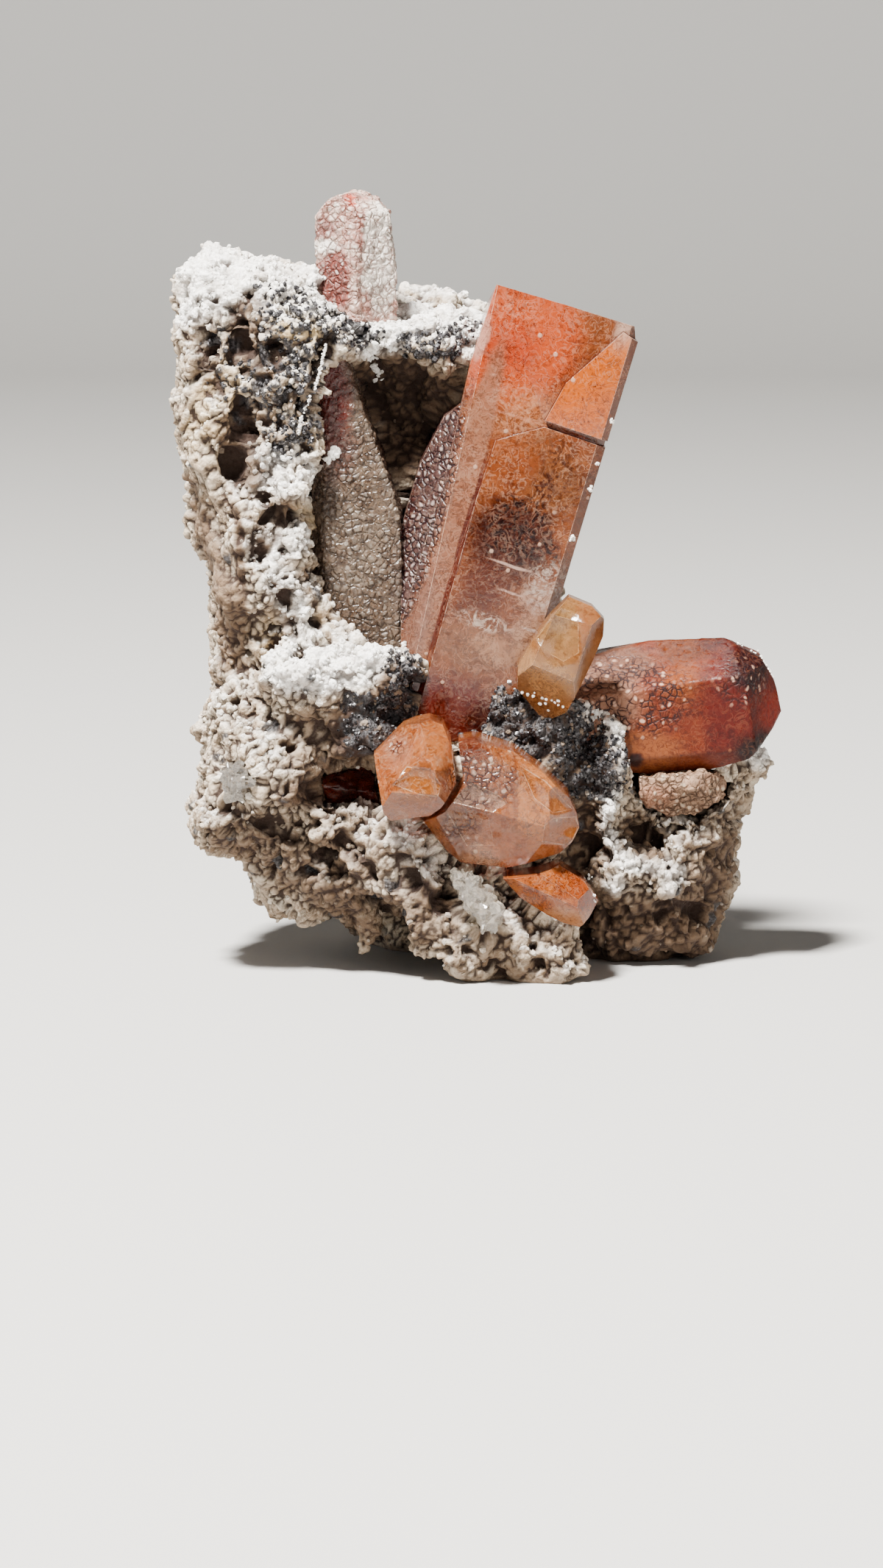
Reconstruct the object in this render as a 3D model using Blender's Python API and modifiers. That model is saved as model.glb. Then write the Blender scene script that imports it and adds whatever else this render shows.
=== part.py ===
"""Topaz crystals on their piece of pale rhyolite, standing on the rock's own feet.

Metres, +Z up. The side with the crystals faces -Y. The origin is the middle of the base, at the floor.
Sizes and places below are in millimetres, and mm() turns them into metres.
"""

import math

import bmesh
import bpy
from mathutils import Vector
from mathutils import noise

# Driving sizes
SOCKET_GAP = 0.2  # clearance between a crystal and the rock or the crystal beside it
VOXEL = 0.42  # grid that the rock's lumps are merged on
ROCK_FACES = 7000  # triangles that the rock keeps after its relief is made
RELIEF_DEPTH = 0.6  # height of the lumps and pits that cover the rock
RELIEF_SIZE = 1.9  # their spacing
SET_BACK = 0.14  # how far the skin lies inside the lumps listed below, on average
KNOB_DEPTH = 0.38  # height of the small knobs on top of them
KNOB_SIZE = 0.95
CREASE = 3.0  # how deep the creases between the lumps go
BEAD_STEP = 0.6  # spacing of the knobs that make up a ridge, as a share of their radius
SEED_OFFSET = Vector((3.7, 1.3, 8.1))  # where in the noise field the relief is read

# The long crystals lean to the right by this angle
LEAN = math.radians(16.5)
LONG_AXIS = Vector((math.sin(LEAN), 0.0, math.cos(LEAN)))
LONG_RIGHT = Vector((math.cos(LEAN), 0.0, -math.sin(LEAN)))
LONG_FOOT = Vector((-1.2, -1.6, 7.0))

# The rock's lumps: centre, radii and how square each is, from 1, an ellipsoid, to 0, a box
LUMPS = [
    # the tall left block, with its knob at the top left
    ((-7.6, 0.6, 20.4), (3.7, 5.2, 6.0), 0.64),
    ((-9.3, -0.8, 24.6), (2.1, 3.0, 2.3), 0.8),
    ((-9.9, -1.4, 20.6), (1.7, 2.8, 3.2), 0.9),
    ((-7.2, -0.4, 24.4), (2.2, 3.0, 1.3), 0.8),
    # the rim that arches over the hollow, and the wall behind it
    ((-4.6, 0.4, 23.4), (2.6, 3.0, 1.6), 0.75),
    ((-1.6, -0.2, 23.3), (2.2, 2.6, 1.4), 0.8),
    ((-2.6, 3.2, 19.0), (5.2, 3.4, 6.2), 0.65),
    ((0.4, 3.0, 15.5), (3.2, 3.2, 5.5), 0.8),
    # the waist of the left block, with the stack of ledges that hides the smoky crystal's edge
    ((-7.0, 0.4, 14.6), (3.0, 5.0, 3.6), 0.75),
    ((-8.2, -2.9, 15.6), (1.6, 2.0, 3.4), 0.9),
    ((-7.0, -3.0, 17.6), (1.3, 2.3, 1.6), 0.85),
    ((-6.9, -3.2, 14.3), (1.1, 2.2, 1.9), 0.85),
    ((-8.5, 0.5, 12.0), (1.7, 3.6, 2.4), 0.85),
    # the shelf under the smoky crystal, and the block below it
    ((-5.4, -3.4, 11.0), (3.0, 3.2, 1.5), 0.75),
    ((-7.3, -0.8, 7.9), (3.2, 5.4, 3.6), 0.68),
    ((-5.0, -3.0, 9.2), (2.9, 3.4, 1.8), 0.8),
    ((-9.1, -2.4, 6.0), (1.5, 3.2, 1.5), 0.85),
    ((-6.6, -0.6, 3.6), (2.2, 3.6, 1.9), 0.8),
    # the middle, which carries the front crystals
    ((-1.5, 1.0, 9.0), (5.4, 5.0, 4.6), 0.75),
    ((-4.2, -1.6, 4.6), (3.8, 4.0, 2.6), 0.8),
    ((0.6, -2.4, 6.2), (3.4, 3.0, 3.6), 0.8),
    ((2.3, -2.8, 9.6), (2.3, 2.3, 1.7), 0.8),
    ((4.0, -2.2, 8.4), (1.5, 2.3, 1.7), 0.85),
    # the right lobe
    ((6.6, 0.4, 3.6), (3.4, 4.0, 4.1), 0.72),
    ((8.4, -0.4, 6.2), (1.8, 2.8, 2.4), 0.8),
    ((3.6, 1.0, 5.0), (3.2, 4.4, 4.6), 0.8),
    # knobs below the front crystals
    ((-2.7, -6.3, 5.6), (0.75, 1.3, 0.6), 1.0),
    ((-4.2, -5.3, 4.4), (0.9, 1.5, 0.75), 0.9),
    ((-3.2, -5.4, 4.0), (1.1, 1.5, 1.3), 0.9),
    # the feet
    ((-2.0, -5.6, 3.4), (1.2, 1.6, 2.9), 0.8),
    ((0.4, -5.2, 2.0), (1.3, 1.6, 2.0), 0.8),
    ((2.5, -5.0, 1.5), (1.4, 1.5, 1.9), 0.7),
    ((-4.3, -3.4, 2.2), (0.55, 0.7, 1.5), 0.9),
    ((-1.4, 3.0, 2.6), (4.0, 3.6, 3.1), 0.65),
    ((6.3, 0.9, 1.0), (3.0, 3.5, 1.8), 0.7),
]

# Lumps that are turned, as the slanting slabs of the front foot are: centre, radii, squareness, tilt about Y
SLABS = [
    ((-1.5, -6.0, 2.6), (1.1, 1.1, 3.0), 0.6, -32.0),
    ((2.4, -5.6, 1.3), (1.5, 1.1, 1.6), 0.6, -20.0),
]

# Ridges, as rows of knobs: the line that each follows, and the knobs' radius
RIDGES = [
    # the rim that runs from the honey crystal over the saddle, down the right lobe and along its bowl
    ([(4.2, -3.9, 10.0), (5.3, -4.2, 8.9), (5.2, -4.3, 6.9), (4.8, -4.3, 5.6), (5.4, -4.2, 4.3)], 0.55),
    ([(5.4, -4.2, 4.3), (6.9, -4.1, 4.3), (7.7, -3.9, 3.9)], 0.5),
    # the branch under the thick crystal
    ([(5.3, -4.0, 7.5), (6.3, -3.7, 6.2), (6.9, -3.6, 5.6), (7.9, -3.5, 5.6)], 0.42),
    # the spur under its tip
    ([(9.2, -1.4, 5.8), (10.2, -1.4, 7.2), (10.9, -1.4, 8.3)], 0.62),
    # the two round knobs below the bowl
    ([(5.25, -4.4, 3.3), (5.35, -4.4, 3.2)], 0.62),
    ([(7.4, -4.1, 3.4), (7.5, -4.1, 3.3)], 0.66),
    # ribs of the spongy hollow at the lower left
    ([(-5.0, -5.8, 6.2), (-6.0, -6.0, 5.2), (-6.5, -5.8, 4.4)], 0.48),
    ([(-8.2, -6.0, 7.0), (-8.2, -6.1, 5.8)], 0.5),
    ([(-6.9, -6.2, 7.3), (-6.9, -6.0, 5.6)], 0.42),
    ([(-9.9, -3.9, 5.7), (-9.4, -4.6, 5.4)], 0.75),
    # the lip of the shelf
    ([(-7.6, -6.0, 11.3), (-6.0, -6.4, 11.7), (-4.2, -6.3, 11.6), (-3.1, -5.4, 11.9)], 0.6),
]

# Hollows taken out of the rock: centre, radii, squareness
HOLLOWS = [
    # the hollow above the long crystals
    ((-3.2, -3.0, 20.4), (2.7, 3.4, 2.9), 0.85),
    ((-3.6, -4.6, 16.6), (2.7, 3.4, 4.2), 0.7),
    # pits and the valley in the left block
    ((-8.8, -4.7, 20.8), (0.7, 1.5, 1.1), 1.0),
    ((-9.2, -4.7, 19.1), (0.6, 1.4, 0.9), 1.0),
    ((-8.8, -4.4, 23.6), (0.5, 1.3, 1.4), 1.0),
    ((-7.4, -4.9, 21.6), (0.9, 1.1, 0.5), 1.0),
    # the gaps between its ledges
    ((-6.9, -5.4, 17.3), (1.1, 1.5, 0.4), 1.0),
    ((-8.0, -5.0, 16.2), (0.4, 1.2, 0.6), 1.0),
    ((-6.7, -5.3, 15.6), (0.8, 1.2, 0.3), 1.0),
    ((-6.8, -5.3, 13.8), (0.6, 1.3, 0.6), 1.0),
    ((-6.5, -5.6, 12.5), (0.6, 1.3, 0.5), 1.0),
    # the spongy undercut at the lower left
    ((-4.7, -6.0, 7.2), (1.5, 2.4, 0.9), 0.9),
    ((-7.3, -6.4, 5.9), (1.3, 1.9, 0.8), 0.9),
    ((-5.7, -5.8, 4.3), (0.9, 1.7, 0.8), 0.9),
    ((-3.4, -5.8, 2.2), (0.8, 2.4, 1.2), 0.9),
    # the bowl in the right lobe, under the thick crystal
    ((6.4, -4.1, 5.2), (1.5, 1.9, 0.95), 0.9),
    ((6.1, -4.0, 6.6), (0.6, 1.4, 0.9), 0.9),
    # the notch between the front foot and the right lobe
    ((4.3, -5.0, 2.6), (0.7, 2.2, 2.2), 0.9),
]


def mm(*values):
    """Millimetres to metres, as a number or as a Vector."""
    if len(values) == 1:
        return values[0] * 0.001
    return Vector(values) * 0.001


def clear_scene():
    for thing in list(bpy.data.objects):
        bpy.data.objects.remove(thing)


def collection(name):
    made = bpy.data.collections.new(name)
    bpy.context.scene.collection.children.link(made)
    return made


def material(name, colour, roughness, transmission=0.0):
    made = bpy.data.materials.new(name)
    made.use_nodes = True
    shader = made.node_tree.nodes["Principled BSDF"]
    shader.inputs["Base Color"].default_value = (*colour, 1.0)
    shader.inputs["Roughness"].default_value = roughness
    shader.inputs["Metallic"].default_value = 0.0
    shader.inputs["Transmission Weight"].default_value = transmission
    shader.inputs["IOR"].default_value = 1.62
    return made


def new_object(name, bm, home, look=None):
    """The finished bmesh as an object in a collection."""
    mesh = bpy.data.meshes.new(name)
    bm.to_mesh(mesh)
    bm.free()
    made = bpy.data.objects.new(name, mesh)
    home.objects.link(made)
    if look:
        mesh.materials.append(look)
    return made


def hide_as_tool(thing):
    """A cutter or guide, which is no part of the object."""
    thing.hide_render = True
    thing.display_type = "WIRE"


def cut_plane(bm, point, normal):
    """Takes off what lies on the normal's side of a plane through point, and closes the cut with one face."""
    everything = list(bm.verts) + list(bm.edges) + list(bm.faces)
    bmesh.ops.bisect_plane(
        bm, geom=everything, plane_co=mm(*point), plane_no=Vector(normal), clear_outer=True
    )
    rim = [edge for edge in bm.edges if edge.is_boundary]
    if rim:
        bmesh.ops.holes_fill(bm, edges=rim)


def facet_block(outline, front, back, cuts):
    """A crystal as a bmesh: its outline seen from the front, as (x, z), is extruded from front to back,
    and each cut (point, outward normal) then takes off an edge or a corner to leave a flat face."""
    bm = bmesh.new()
    corners = [bm.verts.new(mm(x, front, z)) for x, z in outline]
    face = bm.faces.new(corners)
    deep = bmesh.ops.extrude_face_region(bm, geom=[face])
    moved = [item for item in deep["geom"] if isinstance(item, bmesh.types.BMVert)]
    bmesh.ops.translate(bm, vec=mm(0.0, back - front, 0.0), verts=moved)
    for point, normal in cuts:
        cut_plane(bm, point, normal)
    bmesh.ops.remove_doubles(bm, verts=bm.verts, dist=mm(0.01))
    bmesh.ops.recalc_face_normals(bm, faces=bm.faces)
    return bm


def fattened(bm, by):
    """A copy of a crystal with every face moved outwards, to cut its socket."""
    wider = bm.copy()
    wider.normal_update()
    moves = [(vert, vert.normal * vert.calc_shell_factor() * mm(by)) for vert in wider.verts]
    for vert, move in moves:
        vert.co += move
    return wider


def crystal(name, blocks, look, homes, sockets):
    """One crystal, or several grown together, from convex blocks. Each block also leaves a socket cutter."""
    parts, tools = homes
    made = None
    for number, bm in enumerate(blocks):
        sockets.append(new_object(f"{name}_socket_{number}", fattened(bm, SOCKET_GAP), tools))
        hide_as_tool(sockets[-1])
        if made is None:
            made = new_object(name, bm, parts, look)
            continue
        grown = new_object(f"{name}_block_{number}", bm, tools)
        hide_as_tool(grown)
        join = made.modifiers.new(f"grown_{number}", "BOOLEAN")
        join.operation = "UNION"
        join.object = grown
    return made


def along(right, back, up):
    """A point in the long crystals' own frame: to the right, to the back and up their axis."""
    return LONG_FOOT + LONG_RIGHT * right + Vector((0.0, back, 0.0)) + LONG_AXIS * up


def turned(azimuth, slope):
    """A face normal in the same frame. Azimuth runs from the front to the right, slope from the axis."""
    around = math.radians(azimuth)
    down = math.radians(slope)
    to_right = LONG_RIGHT * math.sin(around)
    to_front = Vector((0.0, -math.cos(around), 0.0))
    return (to_right + to_front) * math.sin(down) + LONG_AXIS * math.cos(down)


def long_outline(points):
    """Corners given as (right, up) in the long crystals' frame, as (x, z)."""
    return [(along(right, 0, up).x, along(right, 0, up).z) for right, up in points]


def long_crystals():
    """Three prisms that lean together: the body with its flat top, a plate on its front and a lower one."""
    body = facet_block(
        long_outline([(-2.5, 0.0), (2.05, 0.0), (2.05, 18.0), (1.85, 18.5), (-3.5, 18.6), (-3.6, 15.5)]),
        -3.75,
        0.7,
        [
            (along(0.0, -2.15, 18.55), turned(180.0, 12.0)),
            (along(-3.45, -2.15, 18.5), turned(-38.0, 92.5)),
            (along(2.05, -1.75, 10.0), turned(52.0, 90.0)),
            (along(2.05, 1.2, 10.0), turned(120.0, 90.0)),
            (along(-2.0, 2.2, 18.2), turned(180.0, 55.0)),
        ],
    )
    plate = facet_block(
        long_outline([(-2.25, 0.6), (2.1, 0.6), (2.1, 13.9), (-0.3, 14.0), (-1.9, 13.0)]),
        -4.05,
        -2.0,
        [
            (along(1.75, -2.45, 8.0), turned(40.0, 90.0)),
            (along(-1.9, -2.45, 8.0), turned(-60.0, 91.0)),
        ],
    )
    wedge = facet_block(
        long_outline([(-0.35, 14.25), (2.1, 14.15), (2.12, 18.0), (1.5, 18.2), (0.0, 15.8)]),
        -4.15,
        -2.4,
        [(along(1.85, -2.55, 16.0), turned(40.0, 90.0))],
    )
    lower = facet_block(
        long_outline([(-4.3, 1.5), (-2.2, 1.5), (-2.2, 14.4), (-3.2, 14.2), (-3.95, 13.2), (-4.3, 11.2)]),
        -3.1,
        0.2,
        [
            (along(-3.3, -1.5, 8.0), turned(-35.0, 90.0)),
            ((-2.85, 0.0, 12.0), (-1.0, 0.0, 0.0)),
        ],
    )
    return [body, plate, wedge, lower]


def smoky_crystal():
    """The upright grey-brown prism on the left, cut by one steep end face that leaves the V beside the long ones."""
    outline = [(-6.35, 10.6), (-3.05, 10.6), (-3.05, 17.2), (-5.0, 22.9), (-5.3, 23.5), (-5.7, 23.45), (-6.2, 20.9)]
    cuts = [
        ((-4.9, -3.1, 22.0), (0.6, -0.62, 0.3)),
        ((-6.1, -2.6, 16.0), (-0.75, -0.66, 0.0)),
    ]
    return [facet_block(outline, -3.0, 1.2, cuts)]


def top_crystal():
    """The short stub on the top rim, with a corroded end."""
    outline = [(-6.05, 24.2), (-2.95, 24.2), (-3.2, 28.3), (-3.7, 28.8), (-4.6, 29.1), (-5.6, 28.8), (-6.05, 28.1)]
    cuts = [
        ((-4.8, -2.3, 26.0), (-0.45, -0.89, 0.0)),
        ((-4.3, -2.3, 26.0), (0.55, -0.83, 0.0)),
        ((-5.9, 0.8, 26.0), (-0.6, 0.8, 0.0)),
        ((-3.2, 0.8, 26.0), (0.6, 0.8, 0.0)),
        ((-4.0, -1.2, 28.9), (0.3, -0.5, 0.8)),
    ]
    return [facet_block(outline, -2.5, 1.6, cuts)]


def honey_crystal():
    """The small pale one that leans on the foot of the long crystals, at their right."""
    outline = [
        (3.39, 14.33), (4.25, 13.97), (4.69, 13.5), (4.66, 12.83), (4.23, 11.84), (3.3, 10.0), (2.5, 9.6),
        (1.48, 10.9), (1.5, 11.75), (2.02, 12.7), (2.71, 13.64),
    ]
    cuts = [
        ((3.95, -6.1, 12.5), (0.8, -0.55, -0.25)),
        ((2.2, -6.1, 12.3), (-0.72, -0.6, 0.3)),
        ((3.35, -6.1, 13.6), (0.2, -0.7, 0.68)),
        ((2.7, -6.1, 11.6), (-0.2, -0.85, -0.48)),
    ]
    return [facet_block(outline, -6.1, -4.4, cuts)]


def thick_crystal():
    """The short thick prism that points to the right, red at its end."""
    outline = [
        (3.4, 8.9), (3.5, 10.6), (4.13, 11.7), (6.33, 12.25), (7.82, 12.72), (9.3, 12.45), (10.7, 11.67),
        (11.22, 10.78), (11.5, 9.6), (11.15, 9.0), (10.2, 7.95), (8.65, 7.5), (6.5, 7.3), (5.0, 7.6),
    ]
    cuts = [
        ((7.0, -3.9, 10.6), (-0.12, -0.62, 0.76)),
        ((8.0, -3.9, 8.4), (0.06, -0.72, -0.68)),
        ((10.4, -3.4, 9.8), (0.82, -0.55, 0.12)),
        ((9.9, -2.8, 11.8), (0.42, -0.5, 0.75)),
        ((8.0, -2.2, 12.5), (0.0, 0.36, 0.93)),
        ((8.0, 0.3, 11.3), (0.0, 0.8, 0.6)),
        ((8.0, 0.5, 8.0), (0.0, 0.8, -0.6)),
        ((11.0, 0.0, 10.0), (0.8, 0.6, 0.0)),
    ]
    return [facet_block(outline, -3.7, 1.1, cuts)]


def front_left_crystal():
    """The blocky one in front, its end turned to the viewer."""
    outline = [
        (-3.82, 8.69), (-2.74, 9.73), (-1.76, 9.94), (-1.3, 9.78), (-1.01, 9.13), (-0.79, 7.68), (-1.36, 6.8),
        (-1.76, 6.47), (-3.2, 6.23), (-3.47, 6.56),
    ]
    cuts = [
        ((-2.9, -8.3, 8.3), (-0.5, -0.62, 0.6)),
        ((-3.45, -8.1, 7.4), (-0.86, -0.5, -0.05)),
        ((-2.2, -8.5, 7.3), (-0.05, -0.7, -0.71)),
        ((-1.35, -8.3, 8.2), (0.8, -0.58, 0.1)),
        ((-1.7, -8.0, 9.3), (0.3, -0.55, 0.78)),
    ]
    return [facet_block(outline, -8.6, -5.0, cuts)]


def front_middle_crystal():
    """The broad one beside it, which points down to the right."""
    outline = [
        (-0.7, 9.1), (-0.1, 9.23), (1.32, 8.8), (2.38, 8.06), (3.36, 7.08), (3.66, 6.42), (3.77, 5.87),
        (3.47, 5.3), (3.04, 4.9), (1.06, 4.42), (-0.65, 4.6), (-1.17, 5.02), (-2.0, 6.1), (-1.2, 6.6), (-0.5, 7.6),
    ]
    cuts = [
        ((1.6, -7.9, 8.1), (0.42, -0.6, 0.68)),
        ((0.3, -7.9, 6.7), (-0.12, -0.9, -0.42)),
        ((2.8, -7.7, 6.2), (0.78, -0.62, 0.0)),
        ((2.6, -7.5, 5.5), (0.45, -0.6, -0.66)),
        ((-1.2, -7.4, 5.9), (-0.66, -0.5, -0.56)),
    ]
    return [facet_block(outline, -7.9, -4.6, cuts)]


def front_lower_crystal():
    """The orange one under it."""
    outline = [
        (0.95, 4.05), (2.26, 4.2), (3.02, 4.5), (3.97, 3.85), (4.49, 3.07), (4.17, 2.55), (3.79, 2.16),
        (3.19, 2.3), (2.59, 2.6), (1.61, 3.27),
    ]
    cuts = [
        ((2.8, -7.4, 3.3), (-0.3, -0.7, -0.65)),
        ((3.0, -7.3, 4.0), (0.45, -0.62, 0.64)),
        ((4.0, -7.0, 3.1), (0.85, -0.52, -0.1)),
    ]
    return [facet_block(outline, -7.5, -5.2, cuts)]


def clear_crystal():
    """The small glassy rod on the front foot."""
    outline = [
        (-0.9, 4.35), (-0.38, 4.4), (0.41, 3.57), (0.87, 2.82), (0.84, 2.36), (0.49, 2.0), (0.14, 2.08),
        (-0.52, 2.96), (-0.9, 3.9),
    ]
    cuts = [
        ((0.25, -7.9, 3.4), (0.55, -0.7, 0.45)),
        ((-0.45, -7.9, 3.0), (-0.6, -0.68, -0.42)),
        ((0.55, -7.8, 2.3), (0.4, -0.6, -0.7)),
    ]
    return [facet_block(outline, -8.0, -6.3, cuts)]


def hollow_crystal():
    """The dark red one at the back of the spongy hollow."""
    outline = [(-5.9, 7.5), (-3.9, 7.9), (-3.6, 6.4), (-5.7, 6.4)]
    cuts = [((-4.8, -4.6, 7.2), (0.1, -0.7, 0.7)), ((-4.8, -4.6, 6.8), (-0.1, -0.8, -0.6))]
    return [facet_block(outline, -4.8, -2.0, cuts)]


def under_crystal():
    """The pale one below the thick prism."""
    outline = [(6.0, 7.0), (8.6, 7.1), (9.4, 6.9), (9.3, 6.4), (8.1, 5.7), (7.1, 5.8), (6.3, 6.3)]
    cuts = [((7.6, -3.7, 6.5), (0.1, -0.8, -0.6)), ((8.9, -3.4, 6.7), (0.7, -0.7, 0.1))]
    return [facet_block(outline, -3.9, -1.4, cuts)]


def glassy_grain():
    """A grey grain of quartz in the lower left of the rock."""
    outline = [(-9.3, 8.2), (-8.6, 8.3), (-8.3, 7.7), (-8.5, 7.0), (-8.9, 6.7), (-9.4, 7.1), (-9.55, 7.7)]
    cuts = [
        ((-8.9, -6.6, 7.9), (0.2, -0.7, 0.68)),
        ((-8.7, -6.6, 7.3), (0.5, -0.75, -0.43)),
        ((-9.2, -6.5, 7.4), (-0.7, -0.7, -0.1)),
    ]
    return [facet_block(outline, -6.7, -5.0, cuts)]


def lump(centre, radii, square, tilt=0.0):
    """A rounded block as a bmesh: a sphere whose directions are pushed towards the corners of a box."""
    bm = bmesh.new()
    bmesh.ops.create_icosphere(bm, subdivisions=3, radius=1.0)
    angle = math.radians(tilt)
    for vert in bm.verts:
        pushed = [math.copysign(abs(part) ** square, part) for part in vert.co]
        x, y, z = (part * radius for part, radius in zip(pushed, radii))
        turned_x = x * math.cos(angle) + z * math.sin(angle)
        turned_z = z * math.cos(angle) - x * math.sin(angle)
        vert.co = mm(centre[0] + turned_x, centre[1] + y, centre[2] + turned_z)
    return bm


def ridge(line, radius):
    """A row of overlapping knobs that follows a line."""
    knobs = []
    for start, end in zip(line, line[1:]):
        steps = max(1, math.ceil(math.dist(start, end) / (BEAD_STEP * radius)))
        for step in range(steps):
            spot = [a + (b - a) * step / steps for a, b in zip(start, end)]
            knobs.append(lump(spot, (radius, radius, radius), 1.0))
    return knobs


def joined(blocks):
    """Several bmeshes as one."""
    whole = bmesh.new()
    for bm in blocks:
        piece = bpy.data.meshes.new("piece")
        bm.to_mesh(piece)
        bm.free()
        whole.from_mesh(piece)
        bpy.data.meshes.remove(piece)
    return whole


def baked(thing):
    """Replaces an object's mesh by what its modifiers make of it."""
    graph = bpy.context.evaluated_depsgraph_get()
    mesh = bpy.data.meshes.new_from_object(thing.evaluated_get(graph))
    thing.modifiers.clear()
    thing.data = mesh


def drop_splinters(thing):
    """Keeps an object's largest body, and removes the splinters that cutting left beside it."""
    bm = bmesh.new()
    bm.from_mesh(thing.data)
    unseen = set(bm.verts)
    bodies = []
    while unseen:
        body = set()
        front = [unseen.pop()]
        while front:
            vert = front.pop()
            body.add(vert)
            for edge in vert.link_edges:
                other = edge.other_vert(vert)
                if other in unseen:
                    unseen.remove(other)
                    front.append(other)
        bodies.append(body)
    bodies.sort(key=len)
    splinters = [vert for body in bodies[:-1] for vert in body]
    bmesh.ops.delete(bm, geom=splinters, context="VERTS")
    bm.to_mesh(thing.data)
    bm.free()


def merge_on_grid(thing, voxel):
    grid = thing.modifiers.new("merge", "REMESH")
    grid.mode = "VOXEL"
    grid.voxel_size = mm(voxel)


def domes(point, size):
    """A field of round knobs with creases between them, from about -1 in a crease to 1 on a knob."""
    distance = noise.voronoi(point / size)[0][0]
    return 1.0 - CREASE * distance * distance


def relief(point):
    """How far the rock's skin stands out at a point in millimetres: swells, lumps and small knobs."""
    where = point + SEED_OFFSET
    swell = noise.noise(where / (3.0 * RELIEF_SIZE))
    lumps = domes(where, RELIEF_SIZE)
    knobs = domes(where, KNOB_SIZE)
    return RELIEF_DEPTH * (0.7 * swell + 0.5 * lumps) + 0.5 * KNOB_DEPTH * knobs - SET_BACK


def rock(look, homes, sockets):
    """The rhyolite: lumps merged into one, hollows taken out, a knobbly skin, flat feet and a socket for each crystal."""
    parts, tools = homes
    lumps = [lump(*entry) for entry in LUMPS + SLABS]
    for line, radius in RIDGES:
        lumps += ridge(line, radius)
    made = new_object("matrix", joined(lumps), parts, look)
    merge_on_grid(made, VOXEL)
    baked(made)
    cutter = new_object("hollows", joined([lump(*entry) for entry in HOLLOWS]), tools)
    merge_on_grid(cutter, VOXEL)
    baked(cutter)
    hide_as_tool(cutter)
    carve = made.modifiers.new("hollows", "BOOLEAN")
    carve.operation = "DIFFERENCE"
    carve.object = cutter
    merge_on_grid(made, VOXEL)
    baked(made)

    bm = bmesh.new()
    bm.from_mesh(made.data)
    bm.normal_update()
    moves = [(vert, vert.normal * mm(relief(vert.co * 1000.0))) for vert in bm.verts]
    for vert, move in moves:
        vert.co += move
    bm.to_mesh(made.data)
    bm.free()

    thin = made.modifiers.new("thin", "DECIMATE")
    thin.ratio = ROCK_FACES / (2.0 * len(made.data.polygons))
    thin.use_collapse_triangulate = True
    baked(made)
    floor = new_object("floor", facet_block([(-30, -10), (30, -10), (30, 0), (-30, 0)], -30, 30, []), tools)
    hide_as_tool(floor)
    for tool in [floor] + sockets:
        cut = made.modifiers.new(tool.name, "BOOLEAN")
        cut.operation = "DIFFERENCE"
        cut.object = tool
    baked(made)
    drop_splinters(made)
    return made


def centre_on_base(parts, tools):
    """Moves everything so that the origin is the middle of the object's outline, seen from above."""
    bpy.context.view_layer.update()
    corners = [thing.matrix_world @ Vector(corner) for thing in parts.objects for corner in thing.bound_box]
    middle_x = (min(spot.x for spot in corners) + max(spot.x for spot in corners)) / 2.0
    middle_y = (min(spot.y for spot in corners) + max(spot.y for spot in corners)) / 2.0
    for thing in list(parts.objects) + list(tools.objects):
        thing.location = (-middle_x, -middle_y, 0.0)


def main():
    clear_scene()
    parts = collection("Topaz on matrix")
    tools = collection("Cutters")
    homes = (parts, tools)
    orange = material("topaz_orange", (0.62, 0.27, 0.12), 0.25, 0.5)
    honey = material("topaz_honey", (0.78, 0.52, 0.30), 0.12, 0.7)
    peach = material("topaz_peach", (0.80, 0.47, 0.30), 0.15, 0.6)
    red = material("topaz_red", (0.50, 0.13, 0.07), 0.25, 0.4)
    smoky = material("topaz_smoky", (0.30, 0.23, 0.19), 0.35, 0.4)
    frosted = material("topaz_frosted", (0.75, 0.60, 0.54), 0.4, 0.3)
    clear = material("topaz_clear", (0.85, 0.83, 0.80), 0.05, 0.9)
    stone = material("rhyolite", (0.72, 0.67, 0.60), 0.9)
    sockets = []
    crystal("tall_crystals", long_crystals(), orange, homes, sockets)
    crystal("smoky_crystal", smoky_crystal(), smoky, homes, sockets)
    crystal("top_crystal", top_crystal(), frosted, homes, sockets)
    crystal("honey_crystal", honey_crystal(), honey, homes, sockets)
    crystal("right_crystal", thick_crystal(), red, homes, sockets)
    crystal("front_left_crystal", front_left_crystal(), peach, homes, sockets)
    crystal("front_middle_crystal", front_middle_crystal(), peach, homes, sockets)
    crystal("front_lower_crystal", front_lower_crystal(), orange, homes, sockets)
    crystal("clear_crystal", clear_crystal(), clear, homes, sockets)
    crystal("hollow_crystal", hollow_crystal(), red, homes, sockets)
    crystal("under_crystal", under_crystal(), peach, homes, sockets)
    crystal("glassy_grain", glassy_grain(), clear, homes, sockets)
    rock(stone, homes, sockets)
    centre_on_base(parts, tools)


main()
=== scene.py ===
"""Looks of the topaz on matrix: the rock's granular crust, the crystals' glass, and a plain pale studio.

Lengths are in millimetres. A mark is a place given as a pixel of the 1200 x 2132 photograph: seen_at()
finds where the camera's line through it meets the solids, so each mark lies on its surface.
"""

import math

import bmesh
import bpy
import numpy as np
from mathutils import Matrix
from mathutils import Vector
from mathutils import noise
from mathutils.bvhtree import BVHTree


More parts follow.
